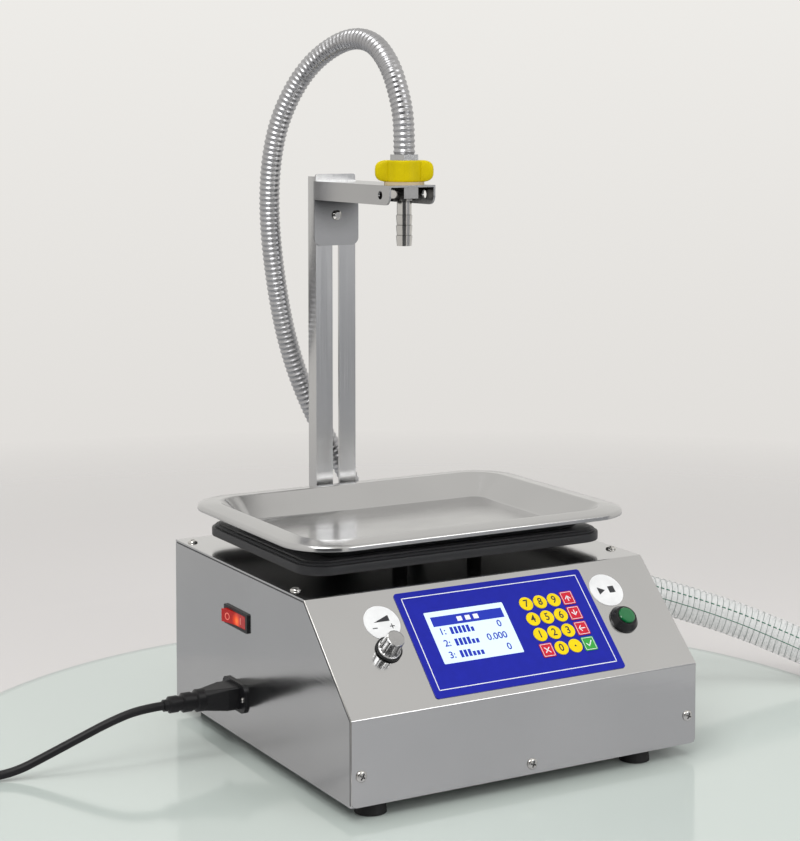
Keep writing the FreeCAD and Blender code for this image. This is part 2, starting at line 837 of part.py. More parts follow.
def make_feet():
    """Four tapered feet, each with a pocket for its screw."""
    made = []
    for x, y in FEET:
        foot = turned("foot", "Z", [
             ("0", "screw_head + sheet_steel"), ("0", "foot_radius"),
             ("foot_height", "foot_radius - sheet_steel"),
            ("foot_height", SCREW_HOLE), ("foot_height / 2", SCREW_HOLE),
            ("foot_height / 2", "screw_head + sheet_steel")])
        made.append(put(foot, (x, y, "0"), member=True))
    group("rubber_feet", made)


def key_shape(sketch, name, x, row, gap):
    """Outline of one key, or of its opening when a gap is given."""
    if name in SQUARE_KEYS:
        rounded(sketch, (x, row), f"key_square_x + 2 * {gap}", f"key_square_row + 2 * {gap}",
                "key_square_corner")
    else:
        circle(sketch, x, row, f"key_radius + {gap}")


def make_overlay():
    """Printed panel sheet with a display window and one opening for each key."""
    body = new_body("overlay")
    flat = sketch_on(body, "XY_Plane")
    rounded(flat, OVERLAY_MIDDLE, "overlay_right + overlay_left", "overlay_high - overlay_low",
            "overlay_corner")
    rounded(flat, WINDOW_MIDDLE, WINDOW_LENGTH + " + 2 * window_gap", WINDOW_WIDTH + " + 2 * window_gap",
            "key_square_corner")
    for name, x, row in KEYS:
        key_shape(flat, name, x, row, "key_gap")
    pad(body, flat, "overlay_sheet")
    node(body, "keypad_overlay", SLOPE_FOOT, **SLOPE)


def make_keys():
    """Key caps that stand a little proud of the overlay."""
    for name, x, row in KEYS:
        body = new_body("key")
        flat = sketch_on(body, "XY_Plane", (0, 0, "key_low"))
        key_shape(flat, name, "0", "0", "0")
        pad(body, flat, "key_top - (key_low)")
        node(body, "key_" + name, on_slope(x, row), **SLOPE)


def make_display():
    """Display with its glass in the window and its housing behind the cover."""
    body = new_body("display")
    glass = sketch_on(body, "XY_Plane", (0, 0, "-sheet_steel"))
    rounded(glass, WINDOW_MIDDLE, WINDOW_LENGTH, WINDOW_WIDTH, "key_square_corner")
    pad(body, glass, "sheet_steel + overlay_sheet - glass_depth")
    housing = sketch_on(body, "XY_Plane", (0, 0, "-sheet_steel"))
    rounded(housing, WINDOW_MIDDLE, WINDOW_LENGTH + " + 2 * display_border",
            WINDOW_WIDTH + " + 2 * display_border", "key_square_corner")
    pad(body, housing, "display_depth", back=True)
    node(body, "display_module", SLOPE_FOOT, **SLOPE)


def make_board():
    """Circuit board with one switch under each key and four pillars up to the cover."""
    body = new_body("board")
    length = KEYS_LENGTH + " + board_margin"
    width = KEYS_WIDTH + " + 2 * board_margin"
    flat = sketch_on(body, "XY_Plane", (0, 0, "board_top"))
    rounded(flat, KEYS_MIDDLE, length, width, "board_pillar")
    pad(body, flat, "board_thickness", back=True)
    switches = sketch_on(body, "XY_Plane", (0, 0, "board_top"))
    for _name, x, row in KEYS:
        circle(switches, x, row, "key_switch_radius")
    pad(body, switches, "key_low - key_travel - key_rest_gap - (board_top)")
    pillars = sketch_on(body, "XY_Plane", (0, 0, "board_top"))
    middle_x, middle_row = KEYS_MIDDLE
    for side in "-+":
        for end in "-+":
            circle(pillars, f"{middle_x} {side} ({length}) / 2 {'+' if side == '-' else '-'} board_pillar",
                   f"{middle_row} {end} ({width}) / 2 {'+' if end == '-' else '-'} board_pillar",
                   "board_pillar * 0.8")
    pad(body, pillars, "board_drop")
    chip = sketch_on(body, "XY_Plane", (0, 0, "board_top - board_thickness"))
    rounded(chip, KEYS_MIDDLE, "2 * board_chip", "2 * board_chip", "board_thickness / 2")
    pad(body, chip, "board_thickness", back=True)
    node(body, "control_board", SLOPE_FOOT, **SLOPE)


def make_flow_knob():
    """Faceted knob with a round base ring, and the potentiometer that it turns."""
    place = on_slope("-knob_x", "knob_row")
    knob = turned("knob", "Z", [
        ("knob_lift", "pot_nut_radius + easy_gap"), ("knob_lift", "knob_ring"),
        ("knob_lift + knob_ring_height * 0.7", "knob_ring"),
        ("knob_lift + knob_ring_height", "knob_ring * 0.92"),
        ("knob_lift + knob_ring_height", "knob_top_radius * 0.8"), ("knob_height", "knob_top_radius * 0.8"),
        ("knob_height", "0"), ("shaft_top", "0"), ("shaft_top", "shaft_radius"),
        ("pot_bush_height + easy_gap", "shaft_radius"),
        ("pot_bush_height + easy_gap", "pot_nut_radius + easy_gap")])
    grip = sketch_on(knob, "XY_Plane", (0, 0, "knob_lift + knob_ring_height"))
    facets = [(f"knob_radius * cos({360 / SIZES['knob_facets']} * {step})",
               f"knob_radius * sin({360 / SIZES['knob_facets']} * {step})")
              for step in range(SIZES["knob_facets"])]
    outline(grip, facets)
    circle(grip, "0", "0", "knob_top_radius * 0.7")
    pad(knob, grip, "knob_height - knob_lift - knob_ring_height",
        taper="-atan((knob_radius - knob_top_radius) / knob_height)")
    node(knob, "flow_knob", place, **SLOPE)
    bore = "shaft_radius + running_gap"
    pot = turned("pot", "Z", [
        ("-sheet_steel - pot_can_depth", bore), ("-sheet_steel - pot_can_depth", "pot_can_radius"),
        ("-sheet_steel", "pot_can_radius"), ("-sheet_steel", "pot_bush_radius"),
        ("pot_bush_height", "pot_bush_radius"), ("pot_bush_height", bore)])
    node(pot, "potentiometer", place, **SLOPE)
    shaft = turned("shaft", "Z", [("-sheet_steel - pot_can_depth", "0"),
                                  ("-sheet_steel - pot_can_depth", "shaft_radius"),
                                  ("shaft_top", "shaft_radius"), ("shaft_top", "0")])
    node(shaft, "potentiometer_shaft", place, **SLOPE)
    nut = new_body("pot_nut")
    flat = sketch_on(nut, "XY_Plane")
    hexagon(flat, "0", "0", "pot_nut_radius")
    circle(flat, "0", "0", "pot_bush_radius")
    pad(nut, flat, "pot_nut_height")
    node(nut, "potentiometer_nut", place, **SLOPE)


def make_start_button():
    """Conical ring on a neck through the slope, with a domed cap that slides in it."""
    place = on_slope("button_x", "button_row")
    bore = "button_cap + running_gap"
    ring = turned("button_ring", "Z", [
        ("-button_depth", "0"), ("-button_depth", "button_neck"), ("0", "button_neck"), ("0", "button_ring"),
        ("button_ring_height * 0.25", "button_ring"), ("button_ring_height", "button_ring_top"),
        ("button_ring_height", bore), ("button_wall - button_depth", bore),
        ("button_wall - button_depth", "0")])
    node(ring, "start_button_housing", place, **SLOPE)
    face = "button_ring_height + button_proud"
    cap = turned("button_cap", "Z", [
        ("button_wall - button_depth + button_travel + key_travel", "0"),
        ("button_wall - button_depth + button_travel + key_travel", "button_cap"),
        (f"{face} - 1.2", "button_cap"), (f"{face} - 0.4", "button_cap * 0.9"), (face, "button_cap * 0.6"),
        (face, "0")])
    node(cap, "start_button_cap", place, **SLOPE)


def make_labels():
    """Two round sticker labels, above the knob and above the button."""
    made = []
    for x, row in (("-flow_label_x", "flow_label_row"), ("start_label_x", "start_label_row")):
        disc = turned("label", "Z", [("0", "0"), ("0", "label_radius"), ("label_sheet", "label_radius"),
                                     ("label_sheet", "0")])
        made.append(put(disc, on_slope(x, row), member=True, **SLOPE))
    group("round_labels", made)


def make_switch():
    """Rocker switch: housing with a bezel, and a rocker that tips about an upright pin."""
    housing = new_body("switch")
    front = sketch_on(housing, "YZ_Plane", (0, 0, "left_wall"))
    middle = ("switch_y", "switch_z")
    rounded(front, middle, "switch_length", "switch_width", "sheet_steel")
    pad(housing, front, "switch_bezel", back=True)
    back = sketch_on(housing, "YZ_Plane", (0, 0, "left_wall"))
    rounded(back, middle, "switch_length - 2 * switch_rim", "switch_width - 2 * switch_body_rim",
            "sheet_gap")
    pad(housing, back, "switch_depth")
    well = sketch_on(housing, "YZ_Plane", (0, 0, "switch_well - switch_bezel - half_width"))
    rounded(well, middle, "2 * rocker_half + 2 * rocker_end_gap",
            "switch_width - 2 * switch_rim", "sheet_gap")
    pocket(housing, well, "switch_well * 2")
    node(housing, "switch_housing")
    rocker = new_body("rocker")
    top = "switch_width / 2 - switch_rim - rocker_side_gap"
    face = sketch_on(rocker, "XY_Plane", (0, 0, f"-({top})"))
    outline(face, [
        ("-rocker_end_rise", "-(rocker_half)"), ("-rocker_valley", "0"), ("-rocker_end_rise", "rocker_half"),
        ("rocker_root / 2", "rocker_half * 0.9"), ("rocker_root", "rocker_half / 3"),
        ("rocker_root", "-(rocker_half) / 3"), ("rocker_root / 2", "-(rocker_half) * 0.9")])
    pad(rocker, face, f"2 * ({top})")
    node(rocker, "switch_rocker", ("rocker_pivot - half_width", "switch_y", "switch_z"),
         (0, 0, 1), "rocker_throw / 2")


def make_inlet():
    """Mains inlet with two ears and three pins, its screws, and the connector pushed into it."""
    inlet = new_body("inlet")
    middle = ("inlet_y", "inlet_z")
    flange = sketch_on(inlet, "YZ_Plane", (0, 0, "left_wall"))
    rounded(flange, middle, "inlet_flange_length", "inlet_flange_width", "inlet_flange_width / 3")
    pad(inlet, flange, "inlet_flange", back=True)
    box = sketch_on(inlet, "YZ_Plane", (0, 0, "left_wall"))
    rounded(box, middle, "inlet_body_length", "inlet_body_width", "sheet_gap")
    pad(inlet, box, "inlet_depth")
    well = sketch_on(inlet, "YZ_Plane", (0, 0, "inlet_well - inlet_flange - half_width"))
    rounded(well, middle, "inlet_body_length - 2 * inlet_wall", "inlet_body_width - 2 * inlet_wall",
            "inlet_wall")
    pocket(inlet, well, "inlet_well * 2")
    ears = sketch_on(inlet, "YZ_Plane", (0, 0, "left_wall + sheet_steel"))
    for sign in "-+":
        circle(ears, f"inlet_y {sign} inlet_ear_pitch / 2", "inlet_z", "inlet_screw_shank + screw_hole_gap")
    pocket(inlet, ears, "inlet_flange * 2 + sheet_steel")
    pins = sketch_on(inlet, "YZ_Plane", (0, 0, "inlet_well - inlet_flange - half_width"))
    for across, up in ((-7, -2), (0, 2), (7, -2)):
        rounded(pins, (f"inlet_y + {across}", f"inlet_z + {up}"), "2", "4", "0.5")
    pad(inlet, pins, "pin_length", back=True)
    node(inlet, "power_inlet")
    made = []
    for sign in "-+":
        small = turned("small_screw", "Z", [
            ("-inlet_screw_length", "0"), ("-inlet_screw_length", "inlet_screw_shank"),
            ("0", "inlet_screw_shank"),
            ("0", "inlet_screw_head"), ("inlet_screw_shank / 2", "inlet_screw_head"),
            ("inlet_screw_shank", "inlet_screw_head * 0.6"), ("inlet_screw_shank", "0")])
        ear = f"inlet_y {sign} inlet_ear_pitch / 2"
        made.append(put(small, ("left_wall - inlet_flange", ear, "inlet_z"),
                        (0, 1, 0), "-90", member=True))
    group("inlet_screws", made)


def make_connector():
    """Moulded connector: nose in the inlet, shaped grip, ringed strain relief round the cord."""
    body = new_body("connector")
    fit = "(2 * inlet_wall + 2 * sheet_gap)"
    nose = sketch_on(body, "YZ_Plane")
    rounded(nose, ("0", "0"), f"inlet_body_length - {fit}", f"inlet_body_width - {fit}", "inlet_wall")
    pad(body, nose, "connector_nose")
    length, width = "connector_length", "connector_width"
    start = sketch_on(body, "YZ_Plane")
    rounded(start, ("0", "0"), length, width, "inlet_wall")
    grip = sketch_on(body, "YZ_Plane", (0, 0, "-connector_body * 0.35"))
    rounded(grip, ("0", "0"), length, width, "inlet_wall")
    neck = sketch_on(body, "YZ_Plane", (0, 0, "-connector_body"))
    rounded(neck, ("0", "0"), "connector_neck", "connector_neck", "connector_neck / 3")
    loft(body, [start, grip, neck])
    profile = [("sheet_steel - connector_body", "cord_radius")]
    step = "relief_length / relief_rings"
    for ring in range(SIZES["relief_rings"]):
        start_x = f"sheet_steel - connector_body - {ring} * {step}"
        radius = f"relief_radius - (relief_radius - relief_tip) * {ring} / relief_rings"
        profile += [(start_x, radius), (f"{start_x} - {step} * 0.58", radius),
                    (f"{start_x} - {step} * 0.68", f"{radius} - ring_groove"),
                    (f"{start_x} - {step}", f"{radius} - ring_groove")]
    profile[0] = ("sheet_steel - connector_body", "0")
    profile.append(("sheet_steel - connector_body - relief_length", "0"))
    revolve(body, outline(sketch_on(body, "XZ_Plane"), profile), "H")
    node(body, "cord_connector", ("left_wall - inlet_flange", "inlet_y", "inlet_z"))


def tube_path(points):
    """Wire of straight runs joined by tangent arcs, each as large as its two runs allow."""
    spots = [Vector(*point) for point in points]
    edges = []
    radii = []
    start = spots[0]
    for before, corner, after in zip(spots, spots[1:], spots[2:]):
        one, two = (before - corner), (after - corner)
        turn = math.pi - one.getAngle(two)
        reach = 0.45 * min(one.Length, two.Length)
        radii.append(reach / math.tan(turn / 2))
        first = corner + one.normalize() * reach
        last = corner + two.normalize() * reach
        inward = (first + last) * 0.5 - corner
        inward.normalize()
        middle = corner + inward * (radii[-1] / math.cos(turn / 2) - radii[-1])
        edges.append(Part.LineSegment(start, first).toShape())
        edges.append(Part.Arc(first, middle, last).toShape())
        start = last
    edges.append(Part.LineSegment(start, spots[-1]).toShape())
    return Part.Wire(edges), radii


def tube(label, points, radius, bore=0):
    """Round tube swept along a path of runs and arcs."""
    path, radii = tube_path(points)
    heading = path.Edges[0].tangentAt(path.Edges[0].FirstParameter)

    def sweep(size):
        ring = Part.Wire([Part.Circle(Vector(*points[0]), heading, size).toShape()])
        return path.makePipeShell([ring], True, False)

    solid = sweep(radius)
    area = math.pi * radius ** 2
    if bore:
        solid = solid.cut(sweep(bore))
        area -= math.pi * bore ** 2
    print(f"{label}: length {path.Length:.1f}, volume over section by length "
          f"{solid.Volume / (area * path.Length):.4f}, radii", " ".join(f"{r:.0f}" for r in radii))
    made = doc.addObject("Part::Feature", label + "_tube")
    made.Shape = solid
    return node(made, label)


def make_cord():
    """Mains cord to the table, the coil of its unseen length, and the plug beside the coil."""
    end_x = value("left_wall - inlet_flange + sheet_steel - connector_body - relief_length")
    start = (end_x, value("inlet_y"), value("inlet_z"))
    tube("power_cord", [start] + CORD_ROUTE, value("cord_radius"))
    coil = turned("coil", "Z", [
        ("0", "coil_inner + 3"), ("0", "coil_outer - 3"), ("3", "coil_outer"),
        ("coil_height - 3", "coil_outer"), ("coil_height", "coil_outer - 3"),
        ("coil_height", "coil_inner + 3"), ("coil_height - 3", "coil_inner"), ("3", "coil_inner")])
    node(coil, "power_cord_coil", ("-coil_x", "coil_y", "0"))
    plug = turned("plug", "Y", [
        ("0", "0"), ("0", "plug_tip"), ("-plug_relief", "plug_neck"), ("-plug_relief - 2", "0")])
    back = sketch_on(plug, "XZ_Plane", (0, 0, "plug_relief - 1"))
    rounded(back, ("0", "0"), "plug_width / 2", "plug_height * 0.7", "inlet_wall")
    face = sketch_on(plug, "XZ_Plane", (0, 0, "plug_relief + plug_length / 2"))
    rounded(face, ("0", "0"), "plug_width", "plug_height", "inlet_wall")
    end = sketch_on(plug, "XZ_Plane", (0, 0, "plug_relief + plug_length"))
    rounded(end, ("0", "0"), "plug_width", "plug_height", "inlet_wall")
    loft(plug, [back, face, end])
    pins = sketch_on(plug, "XZ_Plane", (0, 0, "plug_relief + plug_length - 1"))
    rounded(pins, ("0", "plug_pin_pitch / 3"), "1.8", "6.3", "0.5")
    for side in "-+":
        rounded(pins, (f"{side}plug_pin_pitch / 2", "-plug_pin_pitch / 4"), "1.8", "6.3", "0.5")
    pad(plug, pins, "plug_pin_length + 1")
    beside = "coil_y - sqrt(coil_outer ^ 2 - (plug_offset - plug_tip) ^ 2) - screw_hole_gap"
    node(plug, "mains_plug", ("-coil_x - plug_offset", beside, "plug_height / 2"))


def make_scale():
    """Load cell on its bracket, a carrier with four posts, and the stepped platform on them."""
    cell = new_body("cell")
    side = sketch_on(cell, "YZ_Plane")
    rounded(side, ("platform_y", "(cell_low + cell_top) / 2"), "cell_length", "cell_height", "sheet_steel")
    for sign in "-+":
        circle(side, f"platform_y {sign} cell_bore", "(cell_low + cell_top) / 2", "cell_bore - sheet_steel")
    pad(cell, side, "cell_width", both=True)
    node(cell, "load_cell", ("platform_x", "0", "0"))
    bracket = new_body("bracket")
    post = sketch_on(bracket, "XY_Plane", (0, 0, "floor_z"))
    end = "cell_front + cell_end / 2"
    rounded(post, ("platform_x", end), "bracket_width", "bracket_depth", "bracket_sheet")
    rounded(post, ("platform_x", end), "bracket_width - 2 * bracket_sheet",
            "bracket_depth - 2 * bracket_sheet", "bracket_sheet / 2")
    pad(bracket, post, "cell_low - floor_z")
    cap = sketch_on(bracket, "XY_Plane", (0, 0, "cell_low"))
    rounded(cap, ("platform_x", end), "bracket_width", "cell_end", "bracket_sheet / 2")
    pad(bracket, cap, "bracket_sheet", back=True)
    foot = sketch_on(bracket, "XY_Plane", (0, 0, "floor_z"))
    rounded(foot, ("platform_x", end), "bracket_width + 2 * bracket_foot", "bracket_depth", "bracket_sheet")
    pad(bracket, foot, "bracket_sheet")
    node(bracket, "load_cell_bracket")
    carrier = new_body("carrier")
    plate = sketch_on(carrier, "XY_Plane", (0, 0, "carrier_top"))
    span = "carrier_span + 2 * post_radius"
    rounded(plate, ("platform_x", "platform_y"), span, span, "post_radius")
    pad(carrier, plate, "carrier_plate", back=True)
    heel = sketch_on(carrier, "XY_Plane", (0, 0, "carrier_top - carrier_plate"))
    rounded(heel, ("platform_x", "cell_back - cell_end / 2"), "cell_width", "cell_end", "sheet_steel")
    pad(carrier, heel, "cell_spacer", back=True)
    posts = sketch_on(carrier, "XY_Plane", (0, 0, "carrier_top"))
    for x, y in POSTS:
        circle(posts, x, y, "post_radius")
    pad(carrier, posts, "tray_low - platform_skin - (carrier_top)")
    node(carrier, "platform_carrier")
    platform = new_body("platform")
    middle = ("platform_x", "platform_y")
    full = sketch_on(platform, "XY_Plane", (0, 0, "platform_low + platform_step"))
    rounded(full, middle, "platform_length", "platform_width", "platform_corner")
    pad(platform, full, "platform_height - platform_step")
    step = sketch_on(platform, "XY_Plane", (0, 0, "platform_low"))
    rounded(step, middle, "platform_length - 2 * platform_inset", "platform_width - 2 * platform_inset",
            "platform_corner - platform_inset")
    pad(platform, step, "platform_step")
    hollow = sketch_on(platform, "XY_Plane", (0, 0, "platform_low"))
    rounded(hollow, middle, "platform_length - 2 * platform_inset - 2 * platform_skin",
            "platform_width - 2 * platform_inset - 2 * platform_skin",
            "platform_corner - platform_inset - platform_skin")
    pocket(platform, hollow, "platform_height - platform_skin", back=True)
    round_edges(platform, "sheet_steel", lambda p: near(p.z, "tray_low"))
    node(platform, "scale_platform")


def make_tray():
    """Drawn steel pan with sloping sides, round corners, and a lip that falls outward to a rolled edge."""
    tray = new_body("tray")
    middle = ("0", "0")

    def ring(height, shrink, corner):
        made = sketch_on(tray, "XY_Plane", (0, 0, height))
        return rounded(made, middle, f"tray_length - 2 * ({shrink})", f"tray_width - 2 * ({shrink})", corner)

    edge = "(tray_height - rim_drop)"
    pad(tray, ring(f"{edge} - rim_roll", "0", "tray_corner"), "rim_roll")
    loft(tray, [ring(edge, "0", "tray_corner"), ring("tray_height", "rim_width", "tray_corner - rim_width")])
    round_edges(tray, "rim_round", lambda p: near(p.z, edge))
    under = ring(f"{edge} - rim_roll", "tray_wall", "tray_corner - tray_wall")
    pocket(tray, under, "rim_roll - tray_wall", back=True)
    loft(tray, [ring(f"{edge} - tray_wall", "tray_wall", "tray_corner - tray_wall"),
                ring("tray_height - tray_wall", "rim_width", "tray_corner - rim_width")], "SubtractiveLoft")
    loft(tray, [ring("0", "rim_width + tray_slope", "tray_floor_corner"),
                ring("tray_height", "rim_width", "tray_corner - rim_width")])
    loft(tray, [ring("tray_wall", "rim_width + tray_slope + tray_wall", "tray_floor_corner - tray_wall"),
                ring("tray_height", "rim_width + tray_wall", "tray_corner - rim_width - tray_wall")],
         "SubtractiveLoft")
    node(tray, "filling_tray", ("platform_x", "platform_y", "tray_low"))


def make_mast():
    """Slotted channel on the rear panel, and its four bolts."""
    mast = new_body("mast")
    section = sketch_on(mast, "XY_Plane", (0, 0, "mast_low"))
    half = "mast_width / 2"
    outline(section, [
        (f"-{half}", "cabinet_depth"), (half, "cabinet_depth"), (half, "mast_back"),
        (f"{half} - mast_sheet", "mast_back"), (f"{half} - mast_sheet", "cabinet_depth + mast_sheet"),
        (f"mast_sheet - {half}", "cabinet_depth + mast_sheet"), (f"mast_sheet - {half}", "mast_back"),
        (f"-{half}", "mast_back")])
    pad(mast, section, "mast_high - mast_low")
    high = sketch_on(mast, "XY_Plane", (0, 0, "mast_high"))
    outline(high, [(f"-{half} - mast_sheet", "cabinet_depth + mast_sheet"),
                   (f"{half} + mast_sheet", "cabinet_depth + mast_sheet"),
                   (f"{half} + mast_sheet", "mast_back + mast_sheet"),
                   (f"-{half} - mast_sheet", "mast_back + mast_sheet")])
    pocket(mast, high, "mast_lip")
    slot = sketch_on(mast, "XZ_Plane", (0, 0, "-cabinet_depth - mast_sheet / 2"))
    rounded(slot, ("0", "(slot_low + slot_high) / 2"), "mast_slot", "slot_high - slot_low",
            "mast_slot / 2 - 0.05")
    for x, z in MAST_BOLTS:
        circle(slot, x, z, "bolt_radius + screw_hole_gap")
    pocket(mast, slot, "2 * mast_sheet", both=True)
    round_edges(mast, "mast_lip_corner",
                lambda p: near(p.z, "mast_high") and abs(abs(p.x) - value(half)) < 0.01)
    node(mast, "mast")
    made = []
    for x, z in MAST_BOLTS:
        head = prism("bolt_head", "bolt_head_height", (x, "cabinet_depth + mast_sheet", z), *ALONG_Y)
        inside = "cabinet_depth + mast_sheet - bolt_length + 1"
        shank = rod("bolt_radius", "bolt_length", (x, inside, z), *ALONG_Y)
        bolt = doc.addObject("Part::Fuse", "mast_bolt")
        bolt.Base = head
        bolt.Tool = shank
        made.append(bolt)
    group("mast_bolts", made)


def make_arm():
    """Folded channel that reaches forward, with a back plate that slides on the mast."""
    arm = new_body("arm")
    back = "plate_front + arm_sheet"
    side = sketch_on(arm, "YZ_Plane")
    outline(side, [("arm_front", "arm_low"), ("arm_front", "arm_high"), (back, "arm_high"),
                   (back, "plate_low"), ("plate_front", "plate_low"), ("plate_front", "arm_low")])
    pad(arm, side, "arm_width", both=True)
    trough = sketch_on(arm, "XY_Plane", (0, 0, "arm_low - arm_sheet"))
    half = "arm_width / 2 - arm_sheet"
    outline(trough, [(f"-({half})", "arm_front - arm_sheet"), (half, "arm_front - arm_sheet"),
                     (half, "plate_front"), (f"-({half})", "plate_front")])
    pocket(arm, trough, "arm_high - arm_low", back=True)
    round_edges(arm, "arm_corner", lambda p: near(p.y, "arm_front") and near(p.z, "arm_low"))
    round_edges(arm, "plate_corner", lambda p: near(p.z, "plate_low") and p.y > value("plate_front - 0.01")
                and abs(abs(p.x) - value("arm_width / 2")) < 0.01)
    top = sketch_on(arm, "XY_Plane", (0, 0, "arm_high + arm_sheet"))
    circle(top, "nozzle_x", "nozzle_y", "thread_radius + screw_hole_gap")
    pocket(arm, top, "2.5 * arm_sheet")
    cross = sketch_on(arm, "YZ_Plane")
    circle(cross, "arm_front + arm_bore_back", "(arm_low + arm_high) / 2", "arm_bore")
    pocket(arm, cross, "2 * arm_width", both=True)
    eye = sketch_on(arm, "XZ_Plane", (0, 0, "-cabinet_depth"))
    circle(eye, "0", "clamp_z", "clamp_radius + screw_hole_gap")
    pocket(arm, eye, "8 * arm_sheet", both=True)
    node(arm, "nozzle_arm")
    length = "star_back - clamp_wall - plate_front - arm_gap"
    bolt = turned("clamp_bolt", "Y", [
        ("-clamp_head_height", "0"), ("-clamp_head_height", "clamp_head * 0.6"),
        ("-clamp_head_height / 2", "clamp_head"),
        ("0", "clamp_head"), ("0", "clamp_radius"), (length, "clamp_radius"), (length, "0")])
    node(bolt, "clamp_bolt", ("0", "plate_front", "clamp_z"))
    bore = "clamp_radius + running_gap"
    star = turned("star", "Y", [
        ("0", bore), ("0", "knob_hub"), ("knob_hub_length", "knob_hub"),
        ("knob_hub_length", "star_radius - 2"),
        ("knob_hub_length + 2", "star_radius"), ("knob_hub_length + star_thickness - 2", "star_radius"),
        ("knob_hub_length + star_thickness", "star_radius - 2"), ("knob_hub_length + star_thickness", "0"),
        ("knob_hub_length + star_thickness - clamp_wall", "0"),
        ("knob_hub_length + star_thickness - clamp_wall", bore)])
    notch = sketch_on(star, "XZ_Plane", (0, 0, "-knob_hub_length - star_thickness - 1"))
    circle(notch, "star_radius + star_notch / 2", "0", "star_notch")
    cut = pocket(star, notch, "4 * star_thickness", both=True)
    turns = star.newObject("PartDesign::PolarPattern", "star_pattern")
    turns.Originals = [cut]
    turns.Axis = (notch, ["N_Axis"])
    turns.Angle = 360
    bind(turns, "Occurrences", "star_lobes")
    star.Tip = turns
    node(star, "clamp_knob", ("0", "knob_hub_front", "clamp_z"))


def make_nozzle():
    """Barbed nozzle under the arm, washer, winged union nut and hose ferrule above it."""
    spot = ("nozzle_x", "nozzle_y", "0")
    profile = [("nozzle_tip", "nozzle_bore"), ("nozzle_tip", "barb_root")]
    for step in range(3):
        top = f"nozzle_tip + {step + 1} * barb_pitch"
        profile += [(top, "barb_radius"), (top, "barb_root")]
    under = "nozzle_seat - nozzle_hex_height"
    profile += [
        (f"{under} - nozzle_disc_height", "barb_root"), (f"{under} - nozzle_disc_height", "nozzle_disc"),
        (under, "nozzle_disc"), (under, "thread_radius"), ("thread_top", "thread_radius"),
        ("thread_top", "nozzle_bore")]
    nozzle = turned("nozzle", "Z", profile)
    nut = sketch_on(nozzle, "XY_Plane", (0, 0, under))
    hexagon(nut, "0", "0", "nozzle_hex")
    circle(nut, "0", "0", "thread_radius - sheet_steel")
    pad(nozzle, nut, "nozzle_hex_height")
    node(nozzle, "filling_nozzle", spot)
    washer = turned("washer", "Z", [
        ("arm_high", "thread_radius + screw_hole_gap"), ("arm_high", "washer_radius"),
        ("washer_top", "washer_radius"), ("washer_top", "thread_radius + screw_hole_gap")])
    node(washer, "union_washer", spot)
    bore = "thread_radius + running_gap"
    wing = turned("wing", "Z", [
        ("wing_low", bore), ("wing_low", "wing_core - 1"), ("wing_low + 1", "wing_core"),
        ("wing_high - 1", "wing_core"), ("wing_high", "wing_core - 1"),
        ("wing_high", "ferrule_neck + running_gap"),
        ("wing_high - wing_lip", "ferrule_neck + running_gap"), ("wing_high - wing_lip", bore)])
    span = sketch_on(wing, "XZ_Plane")
    middle = "(wing_low + wing_high) / 2"
    for side in "-+":
        rounded(span, (f"{side}(wing_span + 2 * wing_core - 8) / 4", middle),
                "wing_span / 2 - wing_core + 4",
                "wing_height", "wing_span / 4 - wing_core / 2 + 1.95")
    pad(wing, span, "wing_thickness", both=True)
    node(wing, "wing_nut", spot, (0, 0, 1), "wing_turn")
    ferrule = turned("ferrule", "Z", [
        ("thread_top", "nozzle_bore"), ("thread_top", "ferrule_flange"),
        ("wing_high - wing_lip - arm_gap", "ferrule_flange"),
        ("wing_high - wing_lip - arm_gap", "ferrule_neck"),
        ("ferrule_low + 1", "ferrule_neck"), ("ferrule_low + 1", "nozzle_bore")])
    collar = sketch_on(ferrule, "XY_Plane", (0, 0, "ferrule_low"))
    hexagon(collar, "0", "0", "ferrule_hex")
    circle(collar, "0", "0", "nozzle_bore")
    pad(ferrule, collar, "ferrule_hex_height")
    node(ferrule, "hose_ferrule", spot)


def make_outlet():
    """Elbow on the rear panel: nut, stub, quarter bend and upright collar."""
    bend = doc.addObject("Part::Torus", "elbow")
    bind(bend, "Radius1", "elbow_bend")
    bind(bend, "Radius2", "outlet_radius")
    bend.Angle3 = 90
    put(bend, ("outlet_x", "outlet_y - elbow_bend", "outlet_z + elbow_bend"), (0, 1, 0), "90", member=True)
    stub = rod("outlet_radius", "outlet_reach - elbow_bend + outlet_thread",
               ("outlet_x", "cabinet_depth - outlet_thread", "outlet_z"), *ALONG_Y)
    nut = prism("outlet_hex", "outlet_hex_height", ("outlet_x", "cabinet_depth", "outlet_z"), *ALONG_Y)
    lock = prism("outlet_hex", "outlet_hex_height",
                 ("outlet_x", "cabinet_depth - sheet_steel - outlet_hex_height", "outlet_z"), *ALONG_Y)
    rise = rod("outlet_radius", "outlet_rise - elbow_bend",
               ("outlet_x", "outlet_y", "outlet_z + elbow_bend"))
    collar = rod("outlet_collar", "outlet_rise - elbow_bend - 8",
                 ("outlet_x", "outlet_y", "outlet_z + elbow_bend + 8"))
    fused("outlet_fitting", [bend, stub, nut, lock, rise, collar])


